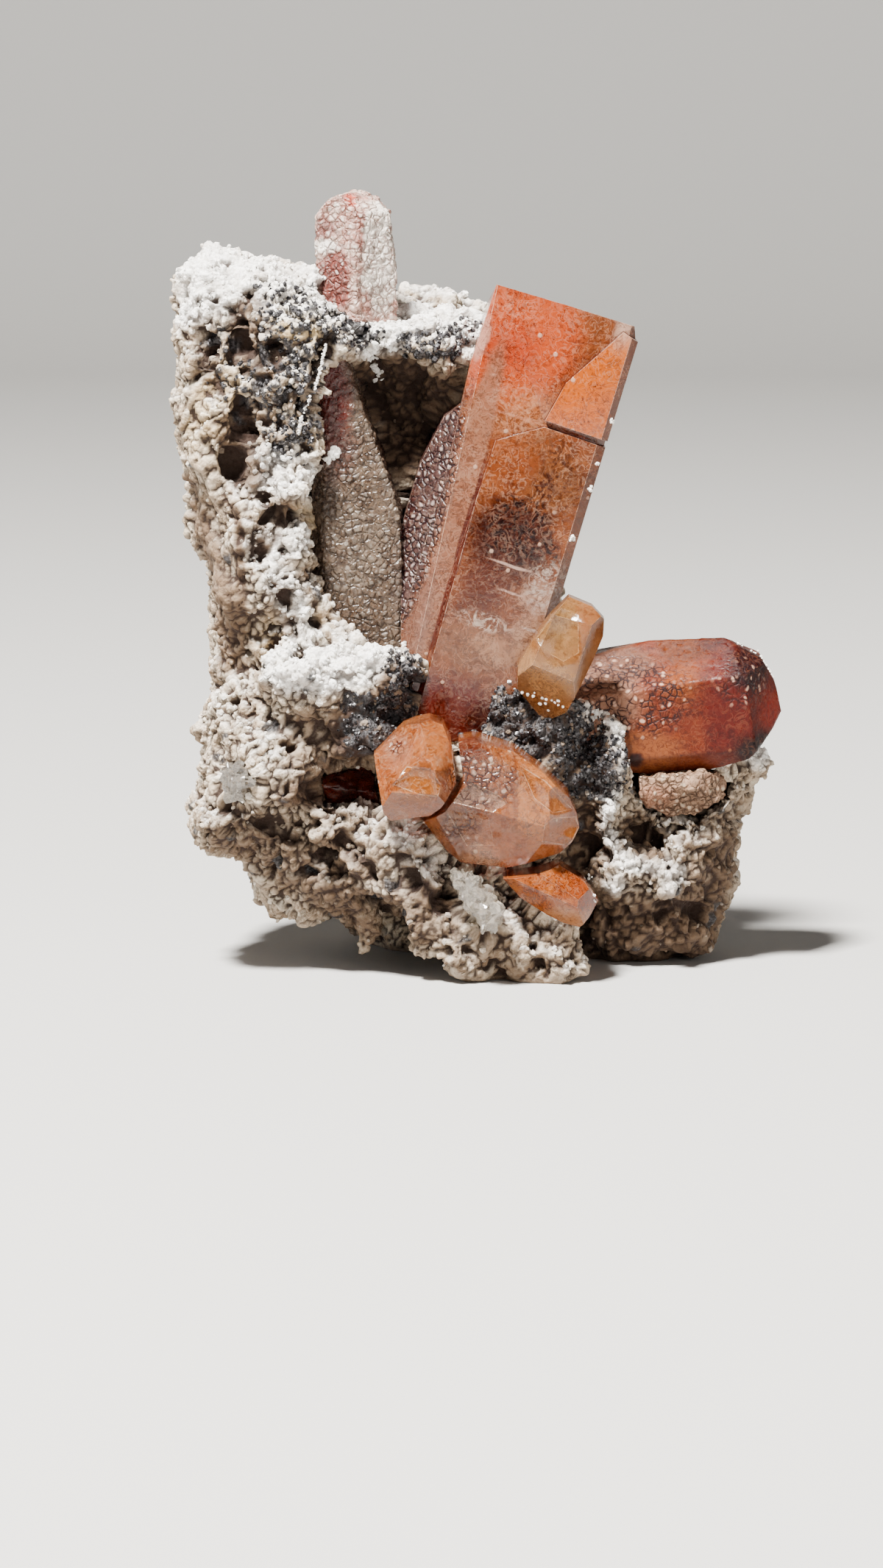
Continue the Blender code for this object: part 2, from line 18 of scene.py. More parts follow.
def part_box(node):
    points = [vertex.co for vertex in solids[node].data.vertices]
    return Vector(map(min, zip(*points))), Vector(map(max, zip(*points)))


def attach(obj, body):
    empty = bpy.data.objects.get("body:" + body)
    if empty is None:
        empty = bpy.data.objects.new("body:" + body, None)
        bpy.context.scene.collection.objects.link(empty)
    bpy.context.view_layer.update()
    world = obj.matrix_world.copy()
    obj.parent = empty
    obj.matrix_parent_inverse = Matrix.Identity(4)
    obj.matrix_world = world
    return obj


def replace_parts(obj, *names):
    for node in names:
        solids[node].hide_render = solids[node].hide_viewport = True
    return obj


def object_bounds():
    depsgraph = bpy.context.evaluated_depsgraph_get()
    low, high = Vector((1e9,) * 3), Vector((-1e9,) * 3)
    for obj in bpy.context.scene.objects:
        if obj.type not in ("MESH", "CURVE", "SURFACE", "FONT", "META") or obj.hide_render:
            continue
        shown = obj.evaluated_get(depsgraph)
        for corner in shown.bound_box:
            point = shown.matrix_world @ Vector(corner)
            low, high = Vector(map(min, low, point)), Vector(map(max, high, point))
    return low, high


MM = 0.001
SEED = 11

# The camera, which stands in front and a little above
PHOTO_SIZE = (1200, 2132)
CAMERA_TARGET = (-1.3, -1.155, 6.85)
CAMERA_DISTANCE = 220.0
CAMERA_TILT = math.radians(8.0)
RIGHT = Vector((1.0, 0.0, 0.0))
UP = Vector((0.0, math.sin(CAMERA_TILT), math.cos(CAMERA_TILT)))
FORWARD = Vector((0.0, math.cos(CAMERA_TILT), -math.sin(CAMERA_TILT)))
EYE = Vector(CAMERA_TARGET) - FORWARD * CAMERA_DISTANCE
LENS_MM = 133.7
FILM_MM = 36.0
PIXEL = 1.0 / 36.0  # a pixel of the photograph, at the specimen

# The long crystals' lean
LEAN = math.radians(16.5)
VEIN_LEAN = math.radians(18.5)
STRIP_LEAN = math.radians(15.5)

# The rock's skin
FINE_VOXEL = 0.105  # grid that the rock is remeshed on
SMOOTHING = 5  # rounds that take off the solid's flat facets
WANDER_HEIGHT = 0.14
CLOD_SIZE = 0.95  # spacing of the clods that the grains sit on
CLOD_HEIGHT = 0.28
GRAIN_SIZE = 0.4  # spacing of the small round grains
GRAIN_HEIGHT = 0.22
PIT_SIZE = 0.7  # spacing of the pits
PIT_DEPTH = 0.42
SEAT_REACH = 0.5  # rock nearer to a crystal than this closes up to it
SEAT_FULL = 0.28
SEAT_DEPTH = 0.05  # how far inside the crystal its rim ends
ROCK_SPLIT = (-4.4, 0.3)  # where its mesh is cut in pieces, across and in depth
BOX_MARGIN = 0.01  # the skin stays this far inside the solids' box

# Loose grains that stand on the skin
LIGHT_GRAINS = 6000
DARK_GRAINS = 2600
GRAIN_RADIUS = (0.06, 0.15)

# Places on the rock: strength, radius in pixels, and the marks of a line that the place follows
# White crust on the tops of ledges, whitened further as painted highlight where the light from above falls
WHITE_CRUST_AND_HIGHLIGHT = [
    (1.3, 66, [(262, 380), (310, 362), (372, 372)]),
    (1.0, 44, [(400, 395), (440, 400)]),
    (1.4, 58, [(500, 425), (560, 430), (620, 428), (668, 415)]),
    (0.9, 24, [(500, 445), (506, 475)]),
    (0.8, 38, [(360, 640), (400, 640), (430, 655)]),
    (0.8, 30, [(400, 730), (360, 745)]),
    (0.9, 26, [(380, 790), (400, 830), (408, 870)]),
    (1.4, 40, [(390, 905), (450, 905), (520, 890)]),
    (1.0, 13, [(758, 945), (800, 968), (838, 1000), (840, 1040)]),
    (0.9, 12, [(802, 967), (841, 1008), (837, 1040), (832, 1081), (820, 1125), (844, 1173), (924, 1185)]),
    (0.8, 20, [(837, 1207)]),
    (0.8, 22, [(917, 1205)]),
    (1.0, 22, [(1046, 1000), (1030, 1024)]),
    (0.7, 22, [(548, 1132), (548, 1138)]),
    (0.5, 30, [(620, 1190), (560, 1170)]),
]
# Painted shade: under ledges and lobes, in the alcove behind the smoky crystal, and in crevices
PAINTED_SHADE_PLACES = [
    (1.0, 26, [(340, 420), (330, 470), (365, 500)]),
    (1.0, 30, [(330, 570), (322, 620), (335, 640)]),
    (0.8, 24, [(385, 700), (352, 740)]),
    (0.7, 20, [(378, 802), (395, 850)]),
    (0.6, 26, [(280, 480), (290, 520)]),
    (2.0, 46, [(545, 935), (525, 985), (480, 1000)]),
    (1.5, 44, [(670, 960), (710, 985), (770, 1000), (805, 1040)]),
    (0.7, 60, [(430, 1010), (500, 1030)]),
    (1.0, 28, [(440, 1070), (400, 1085)]),
    (1.0, 30, [(862, 1125), (885, 1155)]),
    (1.2, 84, [(830, 1280), (960, 1275), (1010, 1200)]),
    (0.6, 60, [(940, 1190), (1000, 1130)]),
    (0.95, 46, [(790, 1120), (800, 1180), (790, 1260)]),
    (0.95, 56, [(440, 1200), (500, 1240), (580, 1240)]),
    (0.75, 60, [(330, 1140), (400, 1180), (470, 1170)]),
    (0.6, 50, [(640, 1290), (740, 1300)]),
    (0.6, 60, [(480, 1100), (540, 1180)]),
    (1.5, 66, [(500, 530), (575, 520), (560, 600)]),
    (0.95, 36, [(252, 660), (278, 740), (300, 820), (310, 880)]),
    (1.2, 8, [(318, 690), (325, 714), (329, 834)]),
    (0.9, 40, [(540, 680), (540, 560)]),
]
SPECKLED = [
    (0.85, 52, [(392, 420), (392, 500), (400, 580)]),
    (0.5, 40, [(300, 480), (360, 560)]),
    (1.0, 24, [(430, 430), (470, 452), (500, 460)]),
    (1.1, 24, [(560, 468), (610, 470), (645, 440)]),
    (1.8, 42, [(548, 915), (530, 960), (500, 985)]),
    (1.8, 56, [(670, 960), (700, 985), (770, 1000), (805, 1040)]),
]
STAINED = [
    (1.0, 36, [(385, 415), (420, 440)]),
    (0.7, 40, [(425, 640), (430, 700)]),
    (0.5, 40, [(300, 520), (280, 600)]),
    (0.4, 40, [(400, 850), (380, 880)]),
]
SMOOTH = [
    (0.7, 38, [(262, 660), (285, 740), (312, 820)]),
    (0.5, 50, [(262, 380), (300, 372)]),
    (0.45, 60, [(530, 1180), (600, 1220), (640, 1260)]),
    (0.5, 24, [(837, 1207)]),
    (0.5, 24, [(917, 1205)]),
]
SPONGY = [
    (1.0, 90, [(360, 1120), (470, 1170), (580, 1230)]),
    (0.9, 90, [(330, 430), (380, 560), (390, 700)]),
    (0.9, 60, [(370, 760), (390, 860)]),
    (0.8, 80, [(860, 1130), (900, 1180)]),
    (0.6, 80, [(300, 980), (380, 1030)]),
]
# Hollows, darkened by painted shade: radius in pixels, depth in millimetres, and the marks of a line
CAVITIES = [
    (15, 1.0, [(447, 466), (440, 500), (430, 530), (416, 562)]),
    (20, 1.1, [(446, 392), (462, 412), (490, 424)]),
    (17, 0.7, [(328, 565), (330, 600)]),
    (18, 0.8, [(318, 628), (322, 650)]),
    (12, 0.6, [(372, 700), (398, 702)]),
    (12, 0.6, [(348, 728), (348, 758)]),
    (11, 0.6, [(376, 796), (380, 815)]),
    (9, 0.5, [(392, 850), (398, 856)]),
    (8, 0.4, [(404, 886), (408, 888)]),
    (13, 0.5, [(322, 425), (330, 470), (352, 492)]),
    (10, 0.5, [(375, 470), (380, 500)]),
    (10, 0.5, [(395, 530), (372, 560)]),
    (13, 0.5, [(285, 470), (280, 500)]),
    (20, 0.7, [(418, 1075), (446, 1092)]),
    (14, 0.5, [(350, 1120), (392, 1140)]),
    (14, 0.5, [(470, 1150), (500, 1180)]),
    (14, 0.4, [(560, 1190), (600, 1230)]),
    (12, 0.4, [(770, 1150), (776, 1200)]),
    (12, 0.4, [(900, 1230), (950, 1240)]),
]
# White crust grains on crystals and ledges: number, radius in millimetres, spread in pixels, and marks
CRUST = [
    (120, (0.03, 0.055), 1.6, [(444, 466), (436, 500), (430, 524), (410, 566), (406, 590)]),
    (16, (0.08, 0.16), 6, [(455, 613), (446, 627)]),
    (34, (0.03, 0.07), 3.5, [(1006, 872), (1030, 884), (1048, 898), (1058, 915)]),
    (9, (0.05, 0.09), 3, [(831, 571), (831, 573)]),
    (6, (0.04, 0.08), 3, [(812, 630), (812, 632)]),
    (7, (0.04, 0.08), 3, [(802, 664), (802, 666)]),
    (10, (0.05, 0.10), 3, [(779, 729), (778, 734)]),
    (26, (0.08, 0.15), 7, [(505, 470), (510, 515)]),
    (12, (0.08, 0.14), 5, [(530, 470), (532, 476)]),
    (14, (0.06, 0.12), 5, [(545, 872), (546, 900)]),
    (16, (0.04, 0.09), 8, [(686, 926), (735, 952), (790, 966)]),
    (12, (0.04, 0.08), 6, [(800, 1190), (815, 1215), (812, 1225)]),
]

# Inner facets: the share of the window's colour, or of the pale one where negative, and its corners
WINDOW_RIM = 0.035
FRONT_LEFT_WINDOWS = [
    (1.0, [(535, 1067), (552, 1042), (570, 1044), (586, 1047), (600, 1067), (595, 1084), (570, 1081)]),
]
FRONT_MIDDLE_WINDOWS = [
    (0.35, [(706, 1040), (742, 1062), (778, 1100), (752, 1106), (726, 1086)]),
    (0.9, [(753, 1112), (783, 1110), (787, 1130), (771, 1150), (736, 1145), (740, 1122)]),
    (-0.8, [(612, 1090), (640, 1064), (676, 1080), (690, 1092), (670, 1105)]),
    (0.25, [(604, 1100), (664, 1112), (672, 1150), (634, 1150)]),
]
HONEY_WINDOWS = [
    (0.8, [(763, 826), (786, 836), (787, 888), (766, 900), (737, 884), (728, 868), (746, 843)]),
]

# Colours, as linear red, green and blue
CREAM = (0.50, 0.395, 0.285)
CREAM_DEEP = (0.36, 0.27, 0.18)
SAND = (0.27, 0.17, 0.095)
GRAIN_PALE = (0.72, 0.63, 0.50)
# White of the crust, also used as painted highlight on the tops
CRUST_AND_HIGHLIGHT_WHITE = (0.96, 0.94, 0.90)
TAN = (0.125, 0.075, 0.042)
# Brown of the painted shade in creases, pits and hollows
BROWN = (0.022, 0.010, 0.006)
OCHRE = (0.62, 0.42, 0.15)
BLACK = (0.009, 0.008, 0.009)
BLACK_GREY = (0.075, 0.070, 0.075)
# Grey of the painted glints on black grains
PAINTED_GLINT = (0.12, 0.115, 0.12)
# Dark red of the painted shade in crystals' creases
CREASE_SHADE_RED = (0.10, 0.018, 0.010)
# Pale of frost, and of painted highlights on edges and glints
FROST_AND_HIGHLIGHT_PALE = (0.62, 0.42, 0.31)
PAPER = (0.44, 0.43, 0.415)
SKY = (0.80, 0.82, 0.85)

# The crystals
TOPAZ_IOR = 1.62
QUARTZ_IOR = 1.54
RICHNESS = 1.2  # power that deepens their colours
FROST = 0.2  # share of the thin pale lines on them
MERGE = 0.004  # corners nearer than this are one
FLAT_ANGLE = math.radians(1.5)  # faces that meet at less are one face
# Rounded outer edges get a painted highlight, rounded inner ones painted shade
WORN_ANGLE = math.radians(6.0)  # edges that bend more than this are worn round
SHARP_ANGLE = math.radians(28.0)

# The studio, in metres: the floor's half width and front edge, and the bend up to its back
FLOOR = (0.7, -0.6)
BEND_START, BEND_RADIUS, BEND_STEPS = 0.32, 0.12, 12
BACK_HEIGHT = 0.8
SKY_STRENGTH = 0.07
AIM = (0.0, 0.0, 0.014)
# The lamps: name, place, size, power and tint
LAMPS = [
    ("key", (-0.08, -0.13, 0.29), 0.045, 7.6, (1.0, 0.98, 0.94)),
    ("fill", (0.20, -0.38, 0.16), 0.22, 0.55, (1.0, 0.95, 0.90)),
    ("left", (-0.34, -0.10, 0.10), 0.2, 0.25, (0.97, 0.98, 1.0)),
]


def millimetres(point):
    return Vector(point) / MM


def metres(point):
    return Vector(point) * MM


def seen_at(mark):
    """Where the camera's line through a pixel of the photograph meets the solids, in millimetres."""
    scale = FILM_MM / LENS_MM / PHOTO_SIZE[1]
    across = (mark[0] - PHOTO_SIZE[0] / 2.0) * scale
    down = (mark[1] - PHOTO_SIZE[1] / 2.0) * scale
    direction = (FORWARD + RIGHT * across - UP * down).normalized()
    hit = SOLID_TREE.ray_cast(EYE, direction, CAMERA_DISTANCE * 2.0)[0]
    if hit is None:
        hit = SOLID_TREE.find_nearest(EYE + direction * CAMERA_DISTANCE)[0]
    return hit


def colour(rgb):
    return (*rgb, 1.0)


def feed(made, inputs):
    """Gives a node's inputs their values. A value that is a socket is linked."""
    for key, value in inputs.items():
        if isinstance(value, bpy.types.NodeSocket):
            made.id_data.links.new(value, made.inputs[key])
        else:
            made.inputs[key].default_value = value


def node(kind, inputs, tree=None, **settings):
    """A new node with some settings and inputs, in the tree of the sockets that feed it."""
    if tree is None:
        tree = next(value.id_data for value in inputs.values() if isinstance(value, bpy.types.NodeSocket))
    made = tree.nodes.new(kind)
    for key, value in settings.items():
        setattr(made, key, value)
    feed(made, inputs)
    return made


def begun(name):
    """A new material, its shader and its object coordinates."""
    material = bpy.data.materials.new(name)
    material.use_nodes = True
    tree = material.node_tree
    return material, tree.nodes["Principled BSDF"], node("ShaderNodeTexCoord", {}, tree).outputs["Object"]


def attribute(coords, name):
    return node("ShaderNodeAttribute", {}, coords.id_data, attribute_name=name).outputs["Fac"]


def maths(operation, first, second=0.0, third=0.0):
    return node("ShaderNodeMath", {0: first, 1: second, 2: third}, operation=operation).outputs[0]


def times(first, second):
    return maths("MULTIPLY", first, second)


def vector(operation, first, second=(0.0, 0.0, 0.0), output=0):
    return node("ShaderNodeVectorMath", {0: first, 1: second}, operation=operation).outputs[output]


def blended(share, first, second, mode="MIX"):
    """Two colours mixed by a share."""
    first, second = (colour(tone) if isinstance(tone, tuple) else tone for tone in (first, second))
    inputs = {0: share, 6: first, 7: second}
    return node("ShaderNodeMix", inputs, data_type="RGBA", blend_type=mode).outputs[2]


def layered(tone, *layers):
    """Colours laid over a tone in turn, each by its share."""
    for share, paint in layers:
        tone = blended(share, tone, paint)
    return tone


def ranged(value, low, high, to_low=0.0, to_high=1.0):
    """A value taken from one range to another, with a soft start and end."""
    inputs = {"Value": value, "From Min": low, "From Max": high, "To Min": to_low, "To Max": to_high}
    return node("ShaderNodeMapRange", inputs, interpolation_type="SMOOTHSTEP").outputs[0]


def fractal(coords, size, detail, roughness, distortion=0.0, output="Fac"):
    """Noise whose features are about this many millimetres across."""
    inputs = {"Vector": coords, "Scale": 1.0 / (size * MM), "Detail": detail}
    inputs.update({"Roughness": roughness, "Distortion": distortion})
    return node("ShaderNodeTexNoise", inputs).outputs[output]


def voronoi(coords, size, **settings):
    """Cells of about this many millimetres."""
    return node("ShaderNodeTexVoronoi", {"Vector": coords, "Scale": 1.0 / (size * MM)}, **settings).outputs


def luck_of(found):
    """A chance number for each cell that voronoi() found."""
    return node("ShaderNodeSeparateColor", {"Color": found["Color"]}).outputs[0]


def blob(coords, centre, radii, core=0.35):
    """A soft ellipsoid in space, in the coordinates' own axes: 1 in the middle, 0 outside."""
    away = vector("SUBTRACT", coords, metres(centre))
    away = vector("MULTIPLY", away, [1.0 / (radius * MM) for radius in radii])
    return ranged(vector("LENGTH", away, output="Value"), core, 1.0, 1.0, 0.0)


def bump(height, depth, strength):
    """Bumps this many millimetres deep."""
    inputs = {"Height": height, "Distance": depth * MM, "Strength": strength}
    return node("ShaderNodeBump", inputs).outputs["Normal"]


def warped(coords, size, amount):
    """Coordinates pushed about by noise, by up to about this many millimetres."""
    push = vector("SUBTRACT", fractal(coords, size, 3.0, 0.5, output="Color"), (0.5, 0.5, 0.5))
    return vector("ADD", coords, vector("MULTIPLY", push, (2.0 * amount * MM,) * 3))


def turned(coords, angle):
    """Coordinates turned about Y, so that Z runs along a crystal that leans by this angle."""
    inputs = {"Vector": coords, "Angle": -angle}
    return node("ShaderNodeVectorRotate", inputs, rotation_type="Y_AXIS").outputs[0]


def painted(coords, tone, spots, lean=0.0, wander=0.35, clots=None):
    """Lays soft spots over a tone. A spot is a mark, two radii in pixels, a depth radius in millimetres, the
    share of its solid core, its strength and its colour in thousandths. Its long axis follows the lean.
    Clots is the size of a pattern that breaks the spots up."""
    loose = turned(warped(coords, 0.8, wander), lean)
    turn = Matrix.Rotation(-lean, 3, "Y")
    if clots:
        pattern = ranged(fractal(coords, clots, 5.0, 0.7, 2.5), 0.46, 0.56)
    for mark, across, up, depth, core, strength, paint in spots:
        share = blob(loose, turn @ seen_at(mark), (across * PIXEL, depth, up * PIXEL), core)
        if clots:
            share = times(share, pattern)
        tone = blended(times(share, strength), tone, tuple(part / 1000.0 for part in paint))
    return tone


def painted_share(coords, spots):
    """The share of a surface that lies in any of some soft spots."""
    total = 0.0
    for mark, across, up, depth, core in spots:
        share = blob(coords, seen_at(mark), (across * PIXEL, depth, up * PIXEL), core)
        total = maths("MAXIMUM", share, total)
    return total


def squiggles(coords, size, share, width=0.08):
    """The share of thin winding lines, which come and go."""
    away = maths("ABSOLUTE", maths("SUBTRACT", fractal(coords, size, 2.0, 0.5, 1.6), 0.5))
    patches = ranged(fractal(coords, size * 3.0, 2.0, 0.5), 0.42, 0.56, 0.1, share)
    return times(ranged(away, width, 0.2 * width), patches)


def scales(coords, size=0.26):
    """An etched, scaly face: the share of dark outlines, which are painted shade in the grooves between
    plates, the share of pale dots, which are painted glints, and its height.
    """
    loose = warped(coords, size * 1.4, size * 0.5)
    edges = voronoi(loose, size, feature="DISTANCE_TO_EDGE")["Distance"]
    plates = voronoi(loose, size)
    broken = fractal(coords, size * 2.2, 2.0, 0.5)
    dark = times(ranged(edges, 0.14, 0.02), ranged(broken, 0.4, 0.55))
    dots = times(ranged(plates["Distance"], 0.42, 0.15), ranged(luck_of(plates), 0.45, 0.75))
    return dark, dots, maths("SUBTRACT", ranged(edges, 0.0, 0.25), times(dark, 0.3))


def rock_material():
    """Cream rhyolite under a white crust, with ochre stains and black grains; painted highlight whitens its
    tops, and painted shade browns its creases, pits and hollows and darkens its undersides.
    """
    material, shader, coords = begun("rock")
    mottle = fractal(coords, 1.1, 4.0, 0.6)
    fine = fractal(coords, 0.13, 4.0, 0.7)
    broad = fractal(coords, 5.0, 3.0, 0.6)
    dark = attribute(coords, "dark")
    tone = layered(
        blended(ranged(mottle, 0.35, 0.7), CREAM, CREAM_DEEP),
        (ranged(broad, 0.5, 0.68, 0.0, 0.5), SAND),
        (attribute(coords, "luck"), GRAIN_PALE),
        (squiggles(coords, 0.38, 0.65), TAN),
        (attribute(coords, "stain"), OCHRE),
        # White crust, and painted highlight on the tops
        (attribute(coords, "crust_and_highlight"), CRUST_AND_HIGHLIGHT_WHITE),
        # Painted shade, tan, in shaded places and on faces that look down
        (attribute(coords, "shade"), TAN),
        (ranged(fine, 0.52, 0.36, 0.0, 0.35), TAN),
        # Painted shade: brown in the creases, pits and hollows
        (attribute(coords, "crease"), BROWN),
        (dark, blended(ranged(fine, 0.45, 0.7), BLACK, BLACK_GREY)),
    )
    grit = maths("SUBTRACT", fine, voronoi(coords, 0.17)["Distance"])
    rough = maths("SUBTRACT", ranged(fine, 0.3, 0.7, 0.7, 0.95), times(dark, 0.5))
    feed(shader, {"Base Color": tone, "Roughness": rough, "Normal": bump(grit, 0.07, 0.9)})
    feed(shader, {"Specular IOR Level": 0.3})
    return material


def dark_grain_material():
    """Black, half-metallic grains, with painted grey glints."""
    material, shader, coords = begun("dark_grains")
    fine = fractal(coords, 0.12, 3.0, 0.6)
    # Painted glints: grey patches in the black
    tone = blended(ranged(fine, 0.4, 0.7), BLACK, PAINTED_GLINT)
    rough = ranged(fine, 0.3, 0.7, 0.12, 0.45)
    feed(shader, {"Base Color": tone, "Roughness": rough, "Normal": bump(fine, 0.03, 0.6), "Metallic": 0.4})
    return material


def topaz(name, light, deep, transmission, absorb=None, density=0.0, ior=TOPAZ_IOR):
    """Starts a see-through crystal: its material, its coordinates and its mottled tone."""
    material, shader, coords = begun(name)
    feed(shader, {"IOR": ior, "Transmission Weight": transmission})
    if absorb:
        inside = {"Color": colour(absorb), "Density": density}
        inside = node("ShaderNodeVolumeAbsorption", inside, material.node_tree).outputs[0]
        feed(material.node_tree.nodes["Material Output"], {"Volume": inside})
    return material, coords, blended(ranged(fractal(coords, 1.1, 4.0, 0.6, 0.8), 0.33, 0.67), light, deep)


def finished(material, coords, tone, rough, grain, depth, scaly, pale, specular=0.1):
    """Ends a crystal's material: scaly places, pale specks that are painted glints, a painted highlight
    along rounded edges, painted shade in creases, frost and fine relief. scaly is a share, with the colours
    of the outlines and of the dots."""
    fine = fractal(coords, grain, 4.0, 0.7, 0.5)
    height = times(fine, 0.5)
    rough = maths("ADD", ranged(fine, 0.3, 0.7, -0.5 * rough, 0.5 * rough), rough)
    tone = blended(ranged(fine, 0.58, 0.76, 0.0, 0.25), tone, pale)
    etch = fractal(coords, 0.3, 5.0, 0.75, 1.5)
    tone = blended(ranged(etch, 0.5, 0.4, 0.0, 0.55), tone, (0.45, 0.36, 0.32), "MULTIPLY")
    tone = blended(squiggles(coords, 0.38, 0.6, 0.06), tone, (0.46, 0.33, 0.26), "MULTIPLY")
    # Beads: small bumps, with pale painted glints on them
    drops = voronoi(coords, 0.6)
    bead_bumps_and_glints = times(ranged(drops["Distance"], 0.18, 0.09), ranged(luck_of(drops), 0.78, 0.84))
    tone = layered(tone, (squiggles(coords, 0.41, FROST, 0.06), pale), (times(bead_bumps_and_glints, 0.7), pale))
    if scaly:
        share, outline, dot = scaly
        dark, dots, plates = scales(coords)
        # Dark outlines are painted shade in the grooves; pale dots are painted glints
        tone = layered(tone, (times(dark, share), outline), (times(dots, share), dot))
        height = maths("MULTIPLY_ADD", times(plates, share), 1.6, height)
        rough = maths("MULTIPLY_ADD", share, 0.15, rough)
    edge = attribute(coords, "edge")
    # Painted highlight along rounded edges and ridges, broken up by noise; painted shade, dark red, in
    # creases and grooves
    edge_light_breakup = ranged(fractal(coords, 0.35, 4.0, 0.7), 0.4, 0.56, 0.15, 0.85)
    edge_lighting = times(maths("MAXIMUM", edge, 0.0), edge_light_breakup)
    tone = layered(tone, (edge_lighting, pale), (times(maths("MINIMUM", edge, 0.0), -0.85), CREASE_SHADE_RED))
    tone = node("ShaderNodeGamma", {"Color": tone, "Gamma": RICHNESS}).outputs[0]
    rough = maths("ADD", rough, times(edge_lighting, 0.2))
    relief = bump(maths("ADD", height, times(bead_bumps_and_glints, 0.6)), depth, 0.9)
    shader = material.node_tree.nodes["Principled BSDF"]
    feed(shader, {"Base Color": tone, "Roughness": rough, "Normal": relief, "Specular IOR Level": specular})
    return material


def tall_material():
    """Terracotta head, orange corner, clear brown middle with a red-brown cloud, pink haze, dark foot."""
    material, coords, tone = topaz(
        "tall_topaz", (0.26, 0.092, 0.034), (0.165, 0.048, 0.015), 0.45, (0.96, 0.60, 0.30), 672.0
    )
    tone = painted(coords, tone, [
        ((700, 450), 110, 120, 3.0, 0.6, 0.9, (438, 88, 26)),
        ((690, 470), 60, 50, 3.0, 0.3, 0.7, (363, 52, 16)),
        ((740, 560), 70, 40, 3.0, 0.3, 0.5, (423, 165, 67)),
        ((690, 620), 60, 60, 3.0, 0.3, 0.6, (260, 75, 22)),
        ((760, 660), 60, 60, 3.0, 0.3, 0.6, (200, 88, 36)),
        ((690, 735), 76, 76, 3.0, 0.5, 0.9, (55, 10, 3)),
        ((655, 800), 50, 60, 3.0, 0.3, 0.9, (100, 22, 6)),
        ((735, 815), 40, 36, 3.0, 0.35, 0.8, (400, 250, 180)),
        ((650, 880), 80, 40, 3.0, 0.4, 0.7, (240, 115, 62)),
        ((720, 865), 34, 40, 3.0, 0.4, 0.8, (440, 270, 180)),
        ((680, 885), 60, 24, 3.0, 0.4, 0.6, (400, 220, 130)),
        ((610, 965), 90, 64, 3.5, 0.45, 1.0, (120, 14, 5)),
        ((655, 975), 30, 30, 3.0, 0.3, 0.8, (37, 4.4, 2.6)),
        ((570, 1000), 40, 50, 3.0, 0.3, 0.8, (99, 8.2, 4.4)),
    ], LEAN, 0.3)
    tone = painted(coords, tone, [
        ((762, 630), 36, 56, 3.0, 0.3, 0.8, (75, 24, 10)),
        ((738, 665), 24, 34, 3.0, 0.3, 0.9, (45, 10, 5)),
        ((690, 650), 40, 60, 3.0, 0.3, 0.5, (160, 40, 14)),
        ((702, 722), 56, 64, 3.0, 0.6, 1.0, (18, 3, 2)),
        ((735, 750), 34, 36, 3.0, 0.5, 1.0, (25, 6, 3)),
        ((740, 600), 40, 40, 3.0, 0.3, 0.6, (90, 30, 12)),
        ((650, 800), 40, 60, 3.0, 0.3, 0.8, (100, 25, 10)),
        ((745, 800), 44, 50, 3.0, 0.4, 0.9, (500, 400, 340)),
        ((660, 846), 50, 16, 3.0, 0.4, 0.9, (500, 400, 330)),
        ((700, 560), 90, 50, 3.0, 0.3, 0.5, (500, 260, 150)),
        ((700, 430), 70, 40, 3.0, 0.3, 0.5, (560, 200, 110)),
    ], LEAN, 0.2, 0.55)
    tone = painted(coords, tone, [
        # A pale line of painted highlight along the lower edge of the head's ledge
        ((695, 769), 42, 3.0, 3.0, 0.4, 0.8, (560, 400, 330)),
        ((694, 806), 24, 2.5, 3.0, 0.4, 0.7, (560, 400, 330)),
        ((725, 858), 22, 3.0, 3.0, 0.4, 0.8, (600, 480, 420)),
        ((700, 566), 70, 3.0, 3.0, 0.3, 0.4, (540, 260, 160)),
    ], VEIN_LEAN, 0.06)
    tone = painted(coords, tone, [
        ((620, 690), 24, 260, 3.0, 0.75, 0.9, (290, 135, 82)),
        ((572, 700), 32, 210, 3.5, 0.65, 0.95, (105, 60, 56)),
        ((560, 870), 20, 120, 3.0, 0.5, 0.7, (240, 120, 85)),
        ((655, 460), 12, 40, 2.0, 0.5, 0.8, (500, 290, 220)),
        ((592, 575), 16, 90, 3.0, 0.5, 0.95, (85, 10, 7)),
        ((553, 690), 13, 130, 3.0, 0.5, 0.9, (60, 18, 14)),
        # A dark line of painted shadow, where the front crystal stands out over the strip at its left
        ((622, 760), 5, 190, 3.0, 0.6, 0.85, (85, 10, 5)),
        ((570, 960), 30, 60, 3.0, 0.4, 0.9, (130, 14, 8)),
    ], STRIP_LEAN, 0.12)
    tone = blended(attribute(coords, "facet"), tone, (0.484, 0.128, 0.012))
    tone = painted(coords, tone, [((850, 446), 20, 50, 2.0, 0.1, 0.8, (563, 393, 306))], LEAN, 0.25)
    middle = Matrix.Rotation(-LEAN, 3, "Y") @ seen_at((570, 705))
    left = blob(turned(coords, LEAN), middle, (1.05, 4.0, 6.0), 0.75)
    outline, dot = (0.033, 0.010, 0.012), (0.46, 0.37, 0.34)
    return finished(material, coords, tone, 0.16, 0.24, 0.03, (left, outline, dot), FROST_AND_HIGHLIGHT_PALE)


